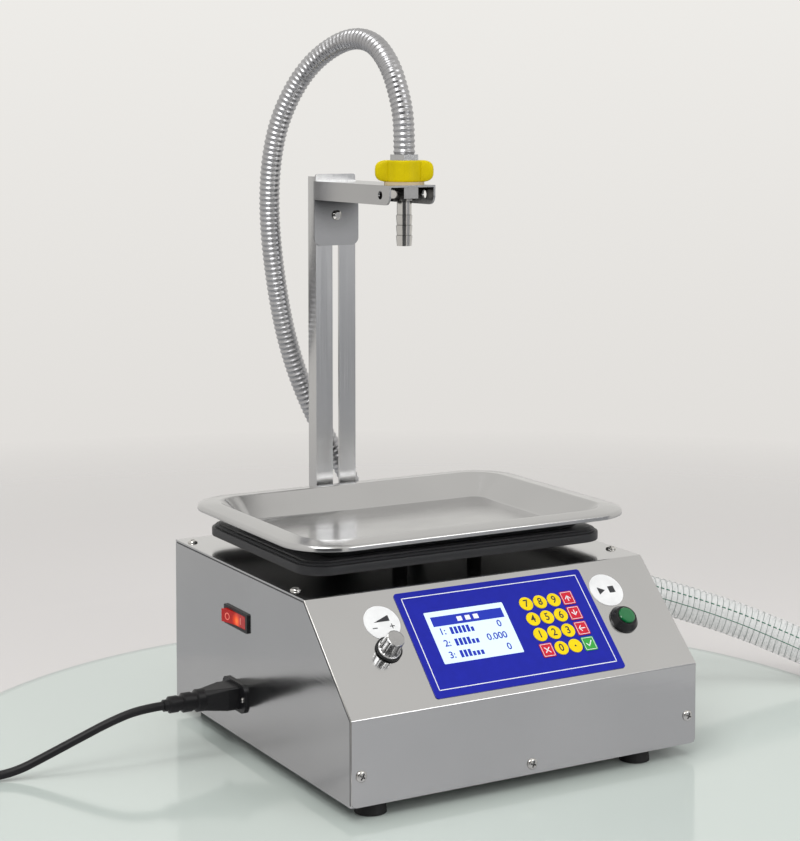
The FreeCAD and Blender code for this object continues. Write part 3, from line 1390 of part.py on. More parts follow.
def make_suction_fitting():
    """Hose barb on the right wall with its hexagon outside and lock nut inside."""
    body = turned("fitting", "X", [
        ("-fitting_thread_length", "fitting_bore"), ("-fitting_thread_length", "fitting_thread"),
        ("1", "fitting_thread"), ("fitting_hex_height", "fitting_thread"),
        ("fitting_hex_height", "suction_radius - suction_wall - screw_hole_gap"),
        ("fitting_hex_height + barb_length", "suction_radius - suction_wall - 1"),
        ("fitting_hex_height + barb_length", "fitting_bore")])
    for start, length in (("0", "fitting_hex_height"), ("-sheet_steel - 6", "6")):
        nut = sketch_on(body, "YZ_Plane", (0, 0, start))
        hexagon(nut, "0", "0", "fitting_hex")
        circle(nut, "0", "0", "fitting_thread - sheet_steel")
        pad(body, nut, length)
    node(body, "inlet_fitting", ("half_width", "suction_y", "suction_z"))


def make_hoses():
    """Corrugated filling hose over the mast, and clear suction hose down to the table."""
    start = (value("outlet_x"), value("outlet_y"), value("hose_start_z"))
    end = (value("nozzle_x"), value("nozzle_y"), value("ferrule_top"))
    tube("filling_hose", [start] + FILLING_ROUTE + [end], value("hose_radius"))
    mouth = (value("half_width + fitting_hex_height"), value("suction_y"), value("suction_z"))
    tube("suction_hose", [mouth] + SUCTION_ROUTE, value("suction_radius"),
         value("suction_radius - suction_wall"))


def make_inside():
    """Pump with its motor on a foot, and the boxed power supply, all on the chassis floor."""
    centre_z = "floor_z + motor_foot + pump_height / 2"
    front = "suction_y - pump_depth / 2"
    head = block("pump_width", "pump_depth", "pump_height",
                 ("pump_x - pump_width / 2", front, "floor_z + motor_foot"))
    foot = block("pump_width", "pump_depth", "motor_foot", ("pump_x - pump_width / 2", front, "floor_z"))
    ports = [rod("pump_port", "pump_port_length",
                 (f"pump_x {side} pump_width / 4", "suction_y", "floor_z + motor_foot + pump_height"))
             for side in "-+"]
    fused("pump", [head, foot] + ports)
    motor = rod("motor_radius", "motor_length", ("pump_x", f"{front} - motor_length", centre_z), *ALONG_Y)
    cradle = block("motor_radius * 1.4", "motor_length * 0.6", f"{centre_z} - floor_z",
                   ("pump_x - motor_radius * 0.7", f"{front} - motor_length * 0.8", "floor_z"))
    fused("pump_motor", [motor, cradle])
    box = block("supply_width", "supply_length", "supply_height",
                ("supply_left", "supply_y - supply_length / 2", "floor_z"))
    node(box, "power_supply", ("supply_left", "supply_y - supply_length / 2", "floor_z"))


for make in (make_chassis, make_cover, make_rear_panel, make_screws, make_feet, make_overlay, make_keys,
             make_display, make_board, make_flow_knob, make_start_button, make_labels, make_switch,
             make_inlet, make_connector, make_cord, make_scale, make_tray, make_mast, make_arm,
             make_nozzle, make_outlet, make_suction_fitting, make_hoses, make_inside):
    make()
doc.recompute()

for thing in doc.Objects:
    if "Invalid" in thing.State or "Error" in thing.State:
        raise RuntimeError(f"{thing.Name} failed: {thing.State}")
os.makedirs("parts", exist_ok=True)
for thing in nodes:
    shape = thing.Shape
    if shape.isNull() or not shape.isValid() or not shape.Solids:
        raise RuntimeError(f"{thing.Label} has no valid solid")
    shape.exportStep(f"parts/{thing.Label}.step")
print("nodes", len(nodes), "origin", round(value("origin_x"), 3), round(value("origin_y"), 3),
      "slope", round(value("slope_angle"), 3))
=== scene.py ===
import math

import bpy
import numpy as np
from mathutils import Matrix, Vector


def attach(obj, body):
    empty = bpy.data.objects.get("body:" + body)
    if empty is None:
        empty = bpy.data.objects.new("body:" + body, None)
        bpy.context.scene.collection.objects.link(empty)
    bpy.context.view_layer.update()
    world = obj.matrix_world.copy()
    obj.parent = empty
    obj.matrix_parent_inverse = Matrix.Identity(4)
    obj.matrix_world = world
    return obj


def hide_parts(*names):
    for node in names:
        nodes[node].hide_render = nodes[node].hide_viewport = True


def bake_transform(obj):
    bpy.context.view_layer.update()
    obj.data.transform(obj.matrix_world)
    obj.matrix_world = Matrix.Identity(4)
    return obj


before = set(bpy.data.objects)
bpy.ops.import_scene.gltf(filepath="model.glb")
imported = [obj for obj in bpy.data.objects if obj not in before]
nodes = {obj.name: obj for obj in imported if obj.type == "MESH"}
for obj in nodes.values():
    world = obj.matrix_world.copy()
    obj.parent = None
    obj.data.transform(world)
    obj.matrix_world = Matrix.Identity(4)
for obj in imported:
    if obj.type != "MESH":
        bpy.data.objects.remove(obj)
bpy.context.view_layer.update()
scene = bpy.context.scene
scene.view_settings.view_transform = "Standard"

# Places are in millimetres from the middle of the cabinet's front edge on the floor, as in the part.
# Radii, pitches and steps of hoses and cords are in metres, as the smooth lines that they follow are.
ORIGIN = np.array([-3.491, 198.5, 0.0])
SLOPE_TILT = math.radians(44.1609)
BEND_Z = 85.9
SLOPE_RUN = 86.6
TOP_Z = 170.0
HALF_WIDTH = 180.0
DEPTH = 369.0
COVER_SHEET = 1.5
PLATFORM = np.array([2.0, 222.0, 0.0])
NOZZLE = np.array([2.4, 231.2, 0.0])
SIDEWAYS = np.array([1.0, 0.0, 0.0])
UPWARDS = np.array([0.0, 0.0, 1.0])


def placed(points):
    """Metres in the part's frame: the machine's millimetres less the origin, by a thousand."""
    return (np.asarray(points, float) - ORIGIN) / 1000


def on_slope(points):
    """Points given as x, way up the slope and height above it, turned by the slope's tilt."""
    x, row, height = np.moveaxis(np.asarray(points, float), -1, 0)
    back = row * math.cos(SLOPE_TILT) - height * math.sin(SLOPE_TILT)
    up = BEND_Z + row * math.sin(SLOPE_TILT) + height * math.cos(SLOPE_TILT)
    return placed(np.stack([x, back, up], axis=-1))


def on_wall(points, side):
    """Points given as way back, height and distance out of the left (-1) or the right (1) side wall."""
    back, up, out = np.moveaxis(np.asarray(points, float), -1, 0)
    return placed(np.stack([side * (HALF_WIDTH + out), back, up], axis=-1))


# Camera and light

def make_camera():
    """Long lens in front of the machine and to its left, looking a few degrees down."""
    down, aside = 3.8, 29.56
    camera = bpy.data.objects.new("camera", bpy.data.cameras.new("camera"))
    scene.collection.objects.link(camera)
    scene.camera = camera
    camera.location = placed((-937.7, -1418.1, 587.5))
    camera.rotation_euler = (math.radians(90 - down), 0, math.radians(-aside))
    camera.data.lens = 84.28
    camera.data.sensor_width = 36
    camera.data.shift_y = -0.205


def aim(item, spot, target, axis):
    """Lamp or card at its spot, with the named axis of its own turned towards the target."""
    start = placed(spot)
    heading = Vector(placed(target) - start)
    item.location = start
    item.rotation_euler = heading.to_track_quat(axis, "Y").to_euler()


def softbox(name, spot, target, size, power, mirrored=True):
    """Square area light at a spot, turned towards a target; metal mirrors it only where it says so."""
    data = bpy.data.lights.new(name, "AREA")
    data.size = size
    data.energy = power
    lamp = bpy.data.objects.new(name, data)
    scene.collection.objects.link(lamp)
    aim(lamp, spot, target, "-Z")
    lamp.visible_glossy = mirrored


def flat_card(name, width, depth, level, material):
    """One level rectangle about the origin, which is part of the stage."""
    x, y = width / 2, depth / 2
    mesh = bpy.data.meshes.new(name)
    mesh.from_pydata([(-x, -y, level), (x, -y, level), (x, y, level), (-x, y, level)], [], [(0, 1, 2, 3)])
    mesh.materials.append(material)
    card = bpy.data.objects.new(name, mesh)
    scene.collection.objects.link(card)
    return card


def dark_card(name, spot, target, width, height, tone):
    """Dark sheet outside the picture that only reflections show, as a room's dark side does."""
    card = flat_card(name, width, height, 0, finish(name, (tone, tone, tone * 1.02), 0.9))
    aim(card, spot, target, "Z")
    card.visible_camera = False
    card.visible_diffuse = False
    card.visible_shadow = False


def make_lamps():
    """Softboxes above and beside the machine, and two cards for the dark parts of its reflections."""
    dark_card("dark_front", (900, -1150, 200), (0, 0, 100), 1.5, 1.0, 0.55)
    dark_card("dark_back", (-1180, -1830, 450), (0, 200, 450), 2.4, 1.7, 0.09)
    softbox("key_light", (-1300, -900, 1900), (0, 200, 150), 1.3, 22)
    softbox("fill_light", (924, -1738, 966), (0, 100, 130), 0.9, 10)
    softbox("top_light", (100, 500, 2200), (0, 200, 200), 1.4, 14, mirrored=False)
    softbox("window_light", (-520, 380, 1850), (170, 340, 205), 0.4, 3)


def make_world():
    """Even light on the object, and a pale wall behind it that is a little darker lower down."""
    world = bpy.data.worlds.new("studio")
    scene.world = world
    world.use_nodes = True
    tree = world.node_tree
    tree.nodes.clear()
    out = tree.nodes.new("ShaderNodeOutputWorld")
    even = tree.nodes.new("ShaderNodeBackground")
    even.inputs["Color"].default_value = (0.95, 0.97, 1, 1)
    even.inputs["Strength"].default_value = 0.5
    where = tree.nodes.new("ShaderNodeTexCoord")
    split = tree.nodes.new("ShaderNodeSeparateXYZ")
    wire(tree, (where.outputs["Generated"], split.inputs[0]))
    height = ranged(tree, split.outputs["Z"], -0.22, 0.06)
    wall = tree.nodes.new("ShaderNodeBackground")
    wall_tone = ramped(tree, height, [(0, (0.73, 0.71, 0.685)), (1, (0.85, 0.835, 0.805))])
    rays = tree.nodes.new("ShaderNodeLightPath")
    seen = tree.nodes.new("ShaderNodeMath")
    seen.operation = "MAXIMUM"
    seen_or_through = tree.nodes.new("ShaderNodeMath")
    seen_or_through.operation = "MAXIMUM"
    mix = tree.nodes.new("ShaderNodeMixShader")
    wire(tree,
         (wall_tone, wall.inputs["Color"]),
         (rays.outputs["Is Camera Ray"], seen.inputs[0]),
         (rays.outputs["Is Glossy Ray"], seen.inputs[1]),
         (seen.outputs[0], seen_or_through.inputs[0]),
         (rays.outputs["Is Transmission Ray"], seen_or_through.inputs[1]),
         (seen_or_through.outputs[0], mix.inputs["Fac"]),
         (even.outputs[0], mix.inputs[1]),
         (wall.outputs[0], mix.inputs[2]),
         (mix.outputs[0], out.inputs["Surface"]))


# Meshes

def build(name, points, quads, triangles, material, body, crease=35):
    """One piece from arrays of points and faces, smooth where its faces meet below the crease angle."""
    quads = np.asarray(quads, int).reshape(-1, 4)
    triangles = np.asarray(triangles, int).reshape(-1, 3)
    mesh = bpy.data.meshes.new(name)
    mesh.vertices.add(len(points))
    mesh.vertices.foreach_set("co", np.asarray(points, float).ravel())
    mesh.loops.add(quads.size + triangles.size)
    mesh.loops.foreach_set("vertex_index", np.concatenate([quads.ravel(), triangles.ravel()]))
    mesh.polygons.add(len(quads) + len(triangles))
    starts = np.concatenate([np.arange(len(quads)) * 4, quads.size + np.arange(len(triangles)) * 3])
    mesh.polygons.foreach_set("loop_start", starts)
    mesh.polygons.foreach_set("use_smooth", np.ones(len(starts), bool))
    mesh.update(calc_edges=True)
    mesh.validate()
    mesh.set_sharp_from_angle(angle=math.radians(crease))
    mesh.materials.append(material)
    piece = bpy.data.objects.new(name, mesh)
    scene.collection.objects.link(piece)
    if body:
        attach(piece, body)
    return piece


def grid_faces(rows, columns):
    """Quads between neighbouring rings, each ring closed on itself."""
    row, column = np.meshgrid(np.arange(rows - 1), np.arange(columns), indexing="ij")
    after = (column + 1) % columns
    quads = np.stack([row * columns + column, row * columns + after,
                      (row + 1) * columns + after, (row + 1) * columns + column], axis=-1)
    return quads.reshape(-1, 4)


def closing(rows, columns):
    """Quads from the last ring back to the first."""
    step = np.arange(columns)
    after = (step + 1) % columns
    last = (rows - 1) * columns
    return np.stack([last + step, last + after, after, step], axis=-1)


def skin(rings):
    """Closed body of stacked rings, with both ends closed by a fan to their middle."""
    rows, columns = rings.shape[:2]
    points = np.concatenate([rings.reshape(-1, 3), rings[:1].mean(axis=1), rings[-1:].mean(axis=1)])
    step = np.arange(columns)
    after = (step + 1) % columns
    low = np.stack([after, step, np.full(columns, rows * columns)], axis=-1)
    last = (rows - 1) * columns
    high = np.stack([last + step, last + after, np.full(columns, rows * columns + 1)], axis=-1)
    return points, grid_faces(rows, columns), np.concatenate([low, high])


def joined(shapes):
    """Several bodies as one set of points and faces."""
    points, quads, triangles = [], [], []
    start = 0
    for shape in shapes:
        points.append(shape[0])
        quads.append(np.asarray(shape[1], int).reshape(-1, 4) + start)
        triangles.append(np.asarray(shape[2], int).reshape(-1, 3) + start)
        start += len(shape[0])
    return np.concatenate(points), np.concatenate(quads), np.concatenate(triangles)


def turned(profile, count=64):
    """Rings of a profile of (height, radius) about the third axis."""
    height, radius = np.asarray(profile, float).T
    angle = np.linspace(0, 2 * np.pi, count, endpoint=False)
    return np.stack([radius[:, None] * np.cos(angle), radius[:, None] * np.sin(angle),
                     np.repeat(height[:, None], count, axis=1)], axis=-1)


def rounded_rings(profile, length, width, steps=14):
    """Rings of a rounded rectangle: each row of the profile is its inset, height and corner radius."""
    inset, height, radius = np.asarray(profile, float).T
    angle = np.linspace(0, np.pi / 2, steps)
    turn = (np.arange(4)[:, None] * np.pi / 2 + angle).ravel()
    side_x = np.repeat([1, -1, -1, 1], steps)
    side_y = np.repeat([1, 1, -1, -1], steps)
    reach_x = (length / 2 - inset - radius)[:, None]
    reach_y = (width / 2 - inset - radius)[:, None]
    return np.stack([side_x * reach_x + radius[:, None] * np.cos(turn),
                     side_y * reach_y + radius[:, None] * np.sin(turn),
                     np.repeat(height[:, None], 4 * steps, axis=1)], axis=-1)


def around(centre, radius, side, count, twist=None):
    """Rings about a line: the centre plus the radius times two directions square to the line."""
    ahead = np.gradient(centre, axis=0)
    ahead /= np.linalg.norm(ahead, axis=1)[:, None]
    first = side - (ahead @ side)[:, None] * ahead
    first /= np.linalg.norm(first, axis=1)[:, None]
    second = np.cross(ahead, first)
    angle = np.linspace(0, 2 * np.pi, count, endpoint=False)[None, :, None]
    if twist is not None:
        angle = angle + twist[:, None, None]
    radius = np.asarray(radius, float).reshape(-1, 1, 1)
    return centre[:, None] + radius * (np.cos(angle) * first[:, None] + np.sin(angle) * second[:, None])


# Materials

def wire(tree, *links):
    """Joins each pair of an output and an input."""
    for start, end in links:
        tree.links.new(start, end)


def finish(name, colour, rough, metal=0.0, coat=0.0, gloss=0.5, glow=None, glow_strength=0.0, alpha=1.0):
    """Material with plain values on the shader itself; textures are wired to it by the callers."""
    material = bpy.data.materials.new(name)
    material.use_nodes = True
    shader = material.node_tree.nodes["Principled BSDF"]
    shader.inputs["Base Color"].default_value = (*colour, 1)
    shader.inputs["Roughness"].default_value = rough
    shader.inputs["Metallic"].default_value = metal
    shader.inputs["Coat Weight"].default_value = coat
    shader.inputs["Specular IOR Level"].default_value = gloss
    shader.inputs["Alpha"].default_value = alpha
    if glow:
        shader.inputs["Emission Color"].default_value = (*glow, 1)
        shader.inputs["Emission Strength"].default_value = glow_strength
    return material


def own_place(tree, shift=(0, 0, 0), stretch=(1, 1, 1)):
    """The piece's own coordinates, stretched along its axes and shifted."""
    where = tree.nodes.new("ShaderNodeTexCoord")
    shape = tree.nodes.new("ShaderNodeMapping")
    shape.inputs["Location"].default_value = shift
    shape.inputs["Scale"].default_value = stretch
    wire(tree, (where.outputs["Object"], shape.inputs["Vector"]))
    return shape.outputs["Vector"]


def distance_from(tree, spot):
    """Distance of the piece's own coordinates from a spot."""
    length = tree.nodes.new("ShaderNodeVectorMath")
    length.operation = "LENGTH"
    wire(tree, (own_place(tree, shift=tuple(-placed(spot))), length.inputs[0]))
    return length.outputs["Value"]


def noise(tree, scale, stretch=(1, 1, 1), detail=4.0):
    """Noise on the piece's own coordinates, stretched along its axes."""
    grain = tree.nodes.new("ShaderNodeTexNoise")
    grain.inputs["Scale"].default_value = scale
    grain.inputs["Detail"].default_value = detail
    wire(tree, (own_place(tree, stretch=stretch), grain.inputs["Vector"]))
    return grain.outputs["Fac"]


def ranged(tree, source, start, end, low=0.0, high=1.0):
    """Value that goes from low to high while the source goes from start to end."""
    step = tree.nodes.new("ShaderNodeMapRange")
    step.inputs["From Min"].default_value = start
    step.inputs["From Max"].default_value = end
    step.inputs["To Min"].default_value = low
    step.inputs["To Max"].default_value = high
    wire(tree, (source, step.inputs["Value"]))
    return step.outputs["Result"]


def spread(tree, grain, low, high):
    """The middle part of a noise, spread over the range from low to high."""
    return ranged(tree, grain, 0.3, 0.7, low, high)


def ramped(tree, source, stops):
    """Colour that runs through stops of a position and a colour as the source rises."""
    ramp = tree.nodes.new("ShaderNodeValToRGB")
    elements = ramp.color_ramp.elements
    for element, (position, colour) in zip((elements[0], elements[1]), (stops[0], stops[-1])):
        element.position = position
        element.color = (*colour, 1)
    for position, colour in stops[1:-1]:
        elements.new(position).color = (*colour, 1)
    wire(tree, (source, ramp.inputs["Fac"]))
    return ramp.outputs["Color"]


def colour_mix(tree):
    """Sockets of a new mix of two colours: its share, first colour, second colour and result."""
    mix = tree.nodes.new("ShaderNodeMix")
    mix.data_type = "RGBA"
    return mix.inputs[0], mix.inputs[6], mix.inputs[7], mix.outputs[2]


def bump(tree, shader, source, strength):
    """Relief 0.2 mm deep at full strength, from a height source."""
    relief = tree.nodes.new("ShaderNodeBump")
    relief.inputs["Strength"].default_value = strength
    relief.inputs["Distance"].default_value = 0.0002
    wire(tree, (source, relief.inputs["Height"]), (relief.outputs["Normal"], shader.inputs["Normal"]))


def tinted(tree, shader, source, low, high):
    """Base colour between two tones."""
    share, first, second, result = colour_mix(tree)
    first.default_value = (*low, 1)
    second.default_value = (*high, 1)
    wire(tree, (source, share), (result, shader.inputs["Base Color"]))


def brushed(name, tone, rough, stretch, depth=0.04):
    """Steel with fine brush lines along the axis that has the small stretch, and faint cloudy patches."""
    material = finish(name, (tone, tone, tone), rough, metal=1.0)
    tree = material.node_tree
    shader = tree.nodes["Principled BSDF"]
    lines = noise(tree, 1.0, stretch, 6)
    cloud = noise(tree, 7.0, detail=2)
    wire(tree, (spread(tree, lines, rough * 0.85, rough * 1.2), shader.inputs["Roughness"]))
    tinted(tree, shader, spread(tree, cloud, 0, 1), (tone * 0.96,) * 3, (tone * 1.03,) * 3)
    bump(tree, shader, lines, depth)
    return material


def speckled(name, colour, rough, scale, depth, metal=0.0, coat=0.0, gloss=0.5):
    """Moulded or cast surface: fine grain in the bump and slight change in roughness and tone."""
    material = finish(name, colour, rough, metal, coat, gloss)
    tree = material.node_tree
    shader = tree.nodes["Principled BSDF"]
    grain = noise(tree, scale)
    wire(tree, (spread(tree, grain, rough * 0.85, rough * 1.15), shader.inputs["Roughness"]))
    tinted(tree, shader, spread(tree, noise(tree, scale / 12), 0, 1),
           tuple(c * 0.94 for c in colour), tuple(min(1, c * 1.05) for c in colour))
    bump(tree, shader, grain, depth)
    return material


def shaded(material, reach, deepest_shade, power=1.0):
    """Painted shade: darker base colour where the piece's own walls stand closer than the reach, as in a
    channel or a recess.
    """
    tree = material.node_tree
    base = tree.nodes["Principled BSDF"].inputs["Base Color"]
    plain = base.links[0].from_socket
    near = tree.nodes.new("ShaderNodeAmbientOcclusion")
    near.samples = 8
    near.only_local = True
    near.inputs["Distance"].default_value = reach
    steep = tree.nodes.new("ShaderNodeMath")
    steep.operation = "POWER"
    steep.inputs[1].default_value = power
    share, first, second, result = colour_mix(tree)
    first.default_value = (deepest_shade, deepest_shade, deepest_shade, 1)
    wire(tree, (near.outputs["AO"], steep.inputs[0]), (steep.outputs[0], share), (plain, second),
         (result, base))
    return material


STEEL_COVER = brushed("cover_steel", 0.56, 0.13, (12, 900, 900))
STEEL_SIDE = brushed("side_steel", 0.50, 0.16, (900, 12, 900))
STEEL_MAST = brushed("mast_steel", 0.55, 0.22, (900, 900, 10))
# Painted shade: the arm's channel inside and its corners go darker within 55 mm of the arm's own walls.
STEEL_ARM = shaded(brushed("arm_steel", 0.43, 0.22, (900, 10, 900)), 0.055, 0.0, power=3.0)
STEEL_TRAY = brushed("tray_steel", 0.53, 0.18, (40, 60, 40), depth=0.03)
# Painted shade in small recesses and steps within 3 mm, such as the screws' cross recesses and the nozzle's
# barb steps.
STEEL_BRIGHT = shaded(speckled("bright_steel", (0.60, 0.59, 0.57), 0.12, 900, 0.03, metal=1.0),
                      0.003, 0.0, power=1.5)
STEEL_HOSE = speckled("hose_steel", (0.42, 0.42, 0.43), 0.30, 700, 0.03, metal=1.0)
# Painted shade in the knob's flutes and small hollows within 1.5 mm, down to a tone of 0.05.
SILVER = shaded(speckled("knob_silver", (0.46, 0.46, 0.46), 0.24, 900, 0.03, metal=1.0), 0.0015, 0.05)
DARK_STEEL = speckled("dark_steel", (0.02, 0.02, 0.02), 0.5, 600, 0.04, gloss=0.2)
PLATFORM_DARK = speckled("platform_dark", (0.040, 0.040, 0.042), 0.42, 600, 0.03, gloss=0.25)
RUBBER = speckled("rubber_black", (0.012, 0.012, 0.012), 0.6, 900, 0.1, gloss=0.3)
BLACK = speckled("black_moulded", (0.009, 0.009, 0.010), 0.38, 1400, 0.06, gloss=0.3)
BLACK_GLOSS = speckled("black_gloss", (0.008, 0.008, 0.009), 0.3, 900, 0.02, coat=0.1, gloss=0.3)
CORD_BLACK = speckled("cord_black", (0.009, 0.009, 0.010), 0.42, 1200, 0.08, gloss=0.3)
BLUE = speckled("overlay_blue", (0.010, 0.016, 0.34), 0.42, 1500, 0.03, gloss=0.2)
YELLOW_KEY = speckled("key_yellow", (0.90, 0.66, 0.0), 0.4, 1500, 0.03, gloss=0.3)
RED_KEY = speckled("key_red", (0.60, 0.015, 0.035), 0.4, 1500, 0.03, gloss=0.3)
GREEN_KEY = speckled("key_green", (0.04, 0.36, 0.05), 0.4, 1500, 0.03, gloss=0.3)
WHITE = speckled("label_white", (0.84, 0.84, 0.83), 0.5, 1200, 0.03)
WHITE_INK = finish("white_ink", (0.85, 0.87, 0.9), 0.5)
BLACK_INK = finish("black_ink", (0.02, 0.02, 0.025), 0.5)
BLUE_INK = finish("blue_ink", (0.015, 0.03, 0.36), 0.5, gloss=0.2,
                  glow=(0.02, 0.05, 0.5), glow_strength=0.2)
SCREEN = finish("screen", (0.56, 0.70, 0.79), 0.3, gloss=0.3,
                glow=(0.66, 0.80, 0.97), glow_strength=0.40)
CAP_GREEN = speckled("cap_green", (0.0, 0.14, 0.035), 0.16, 900, 0.02, coat=0.4)
YELLOW = speckled("wing_yellow", (0.66, 0.52, 0.0), 0.42, 900, 0.04, gloss=0.12)
BEIGE = speckled("washer_beige", (0.60, 0.48, 0.30), 0.5, 900, 0.05, gloss=0.3)
BRASS = speckled("brass", (0.62, 0.46, 0.2), 0.3, 900, 0.04, metal=1.0)
ALUMINIUM = speckled("aluminium", (0.62, 0.62, 0.62), 0.4, 600, 0.06, metal=1.0)
BOARD = speckled("board_green", (0.02, 0.16, 0.05), 0.4, 1200, 0.05)

NODE_FINISH = {
    "base_chassis": STEEL_SIDE, "front_cover": STEEL_COVER, "rear_panel": STEEL_COVER,
    "rubber_feet": RUBBER, "keypad_overlay": BLUE, "display_module": SCREEN, "control_board": BOARD,
    "potentiometer": STEEL_BRIGHT, "potentiometer_shaft": STEEL_BRIGHT, "potentiometer_nut": STEEL_BRIGHT,
    "start_button_housing": BLACK_GLOSS, "start_button_cap": CAP_GREEN, "round_labels": WHITE,
    "switch_housing": BLACK, "power_inlet": BLACK, "inlet_screws": STEEL_BRIGHT, "cord_connector": BLACK,
    "mains_plug": BLACK, "load_cell": ALUMINIUM, "load_cell_bracket": STEEL_MAST,
    "platform_carrier": DARK_STEEL, "mast": STEEL_MAST, "mast_bolts": STEEL_BRIGHT,
    "nozzle_arm": STEEL_ARM, "clamp_bolt": STEEL_BRIGHT, "clamp_knob": BLACK, "hose_ferrule": SILVER,
    "union_washer": BEIGE, "filling_nozzle": STEEL_BRIGHT, "outlet_fitting": STEEL_BRIGHT,
    "pump": ALUMINIUM, "pump_motor": BLACK, "inlet_fitting": BRASS, "power_supply": ALUMINIUM,
}
SQUARE_KEYS = {"key_up": RED_KEY, "key_down": RED_KEY, "key_back": RED_KEY, "key_cancel": RED_KEY,
               "key_confirm": GREEN_KEY}


def finish_nodes():
    """Each node of the part that shows as it is gets its material; the round keys are yellow."""
    finishes = dict(NODE_FINISH)
    for name in nodes:
        if name.startswith("key_"):
            finishes[name] = SQUARE_KEYS.get(name, YELLOW_KEY)
    for name, material in finishes.items():
        for slot in nodes[name].material_slots:
            slot.material = material


# Cords and hoses

FILLING_ROUTE = [
    (38, 399, 163), (38, 399.5, 198), (14, 410, 243), (-13.2, 415, 298), (-33.8, 417, 358),
    (-48, 414, 425), (-55.5, 412, 490), (-54.3, 408, 548), (-46, 398, 595), (-28.2, 375, 640.4),
    (-9.3, 334, 666), (-0.8, 291, 664.7), (1.8, 258, 639.8), (3.2, 240, 605.5), (2.4, 231.2, 580),
    (2.4, 231.2, 551.8),
]
SUCTION_ROUTE = [
    (188, 236.9, 113.7), (228, 236.9, 110), (268, 231.5, 98), (306, 218.5, 86), (343, 200, 73.5),
    (378, 176.5, 60), (410, 148.5, 44.5), (438, 117.5, 30), (462, 86, 20), (490, 52.5, 18.2),
    (530, 25, 18.2), (588, 7, 18.2), (655, 5, 18.2), (714, 25, 18.2), (764, 62, 18.2),
    (798, 114, 18.2), (813, 174, 18.2), (806, 236, 18.2), (783, 290, 18.2),
]
CORD_ROUTE = [
    (-253, 228.3, 50.2), (-276, 228.3, 50.2), (-303, 230, 43), (-333, 235, 30), (-362, 240.5, 17),
    (-388, 244, 6.5), (-414, 247, 4.2), (-443, 252.3, 4.2), (-472.5, 260.6, 4.2),
]
PLUG_END = [(-531, 205, 11.4), (-532, 186, 12), (-532, 170, 12)]


def coil_turns():
    """Turns of the put-away cord: the angle grows evenly while radius and height ease from turn to turn."""
    centre = np.array([-487.0, 206.0, 0.0])
    start = math.radians(75)
    radii = [47.8, 39.8, 32.1, 35.9, 43.6]
    heights = [4.1, 4.1, 4.1, 10.9, 10.9]
    points_a_turn = 12
    corner_reach = 1.017
    step = np.arange(1, points_a_turn * len(radii) + 1)
    angle = start + 2 * math.pi * step / points_a_turn
    share = step / points_a_turn
    middle = np.arange(len(radii)) + 0.5
    radius = np.interp(share, middle, radii) * corner_reach
    height = np.interp(share, middle, heights)
    return centre + np.stack([radius * np.cos(angle), radius * np.sin(angle), height], axis=-1)


def route(name, points):
    """Smooth open line whose control points are the corners of the route."""
    curve = bpy.data.curves.new(name, "CURVE")
    curve.dimensions = "3D"
    spline = curve.splines.new("NURBS")
    spline.points.add(len(points) - 1)
    ends = np.concatenate([placed(points), np.ones((len(points), 1))], axis=1)
    spline.points.foreach_set("co", ends.ravel())
    spline.order_u = 3
    spline.use_endpoint_u = True
    spline.resolution_u = 12
    return bpy.data.objects.new(name, curve)


def mesh_points(item):
    """The mesh that a curve or text comes out as, and its points."""
    scene.collection.objects.link(item)
    bpy.context.view_layer.update()
    mesh = bpy.data.meshes.new_from_object(item)
    points = np.empty(len(mesh.vertices) * 3)
    mesh.vertices.foreach_get("co", points)
    bpy.data.objects.remove(item)
    return mesh, points.reshape(-1, 3)


def centre_line(line, step):
    """Points of the smooth line at an even step along it, and the way to each."""
    points = mesh_points(line)[1]
    way = np.concatenate([[0], np.cumsum(np.linalg.norm(np.diff(points, axis=0), axis=1))])
    count = int(way[-1] / step) + 1
    even = np.linspace(0, way[-1], count)
    return np.stack([np.interp(even, way, points[:, axis]) for axis in range(3)], axis=-1), even


def make_filling_hose():
    """Bellows hose: the radius falls and rises as a rounded wave along the line."""
    step, pitch = 0.00045, 0.0052
    root, depth, roundness = 0.00965, 0.0011, 1.2
    centre, way = centre_line(route("filling_line", FILLING_ROUTE), step)
    wave = 2 * np.abs(np.mod(way / pitch, 1) - 0.5)
    rings = around(centre, root + depth * wave ** roundness, SIDEWAYS, 28)
    hose = build("filling_hose_skin", *skin(rings), STEEL_HOSE, None, crease=80)
    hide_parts("filling_hose")
    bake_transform(hose)


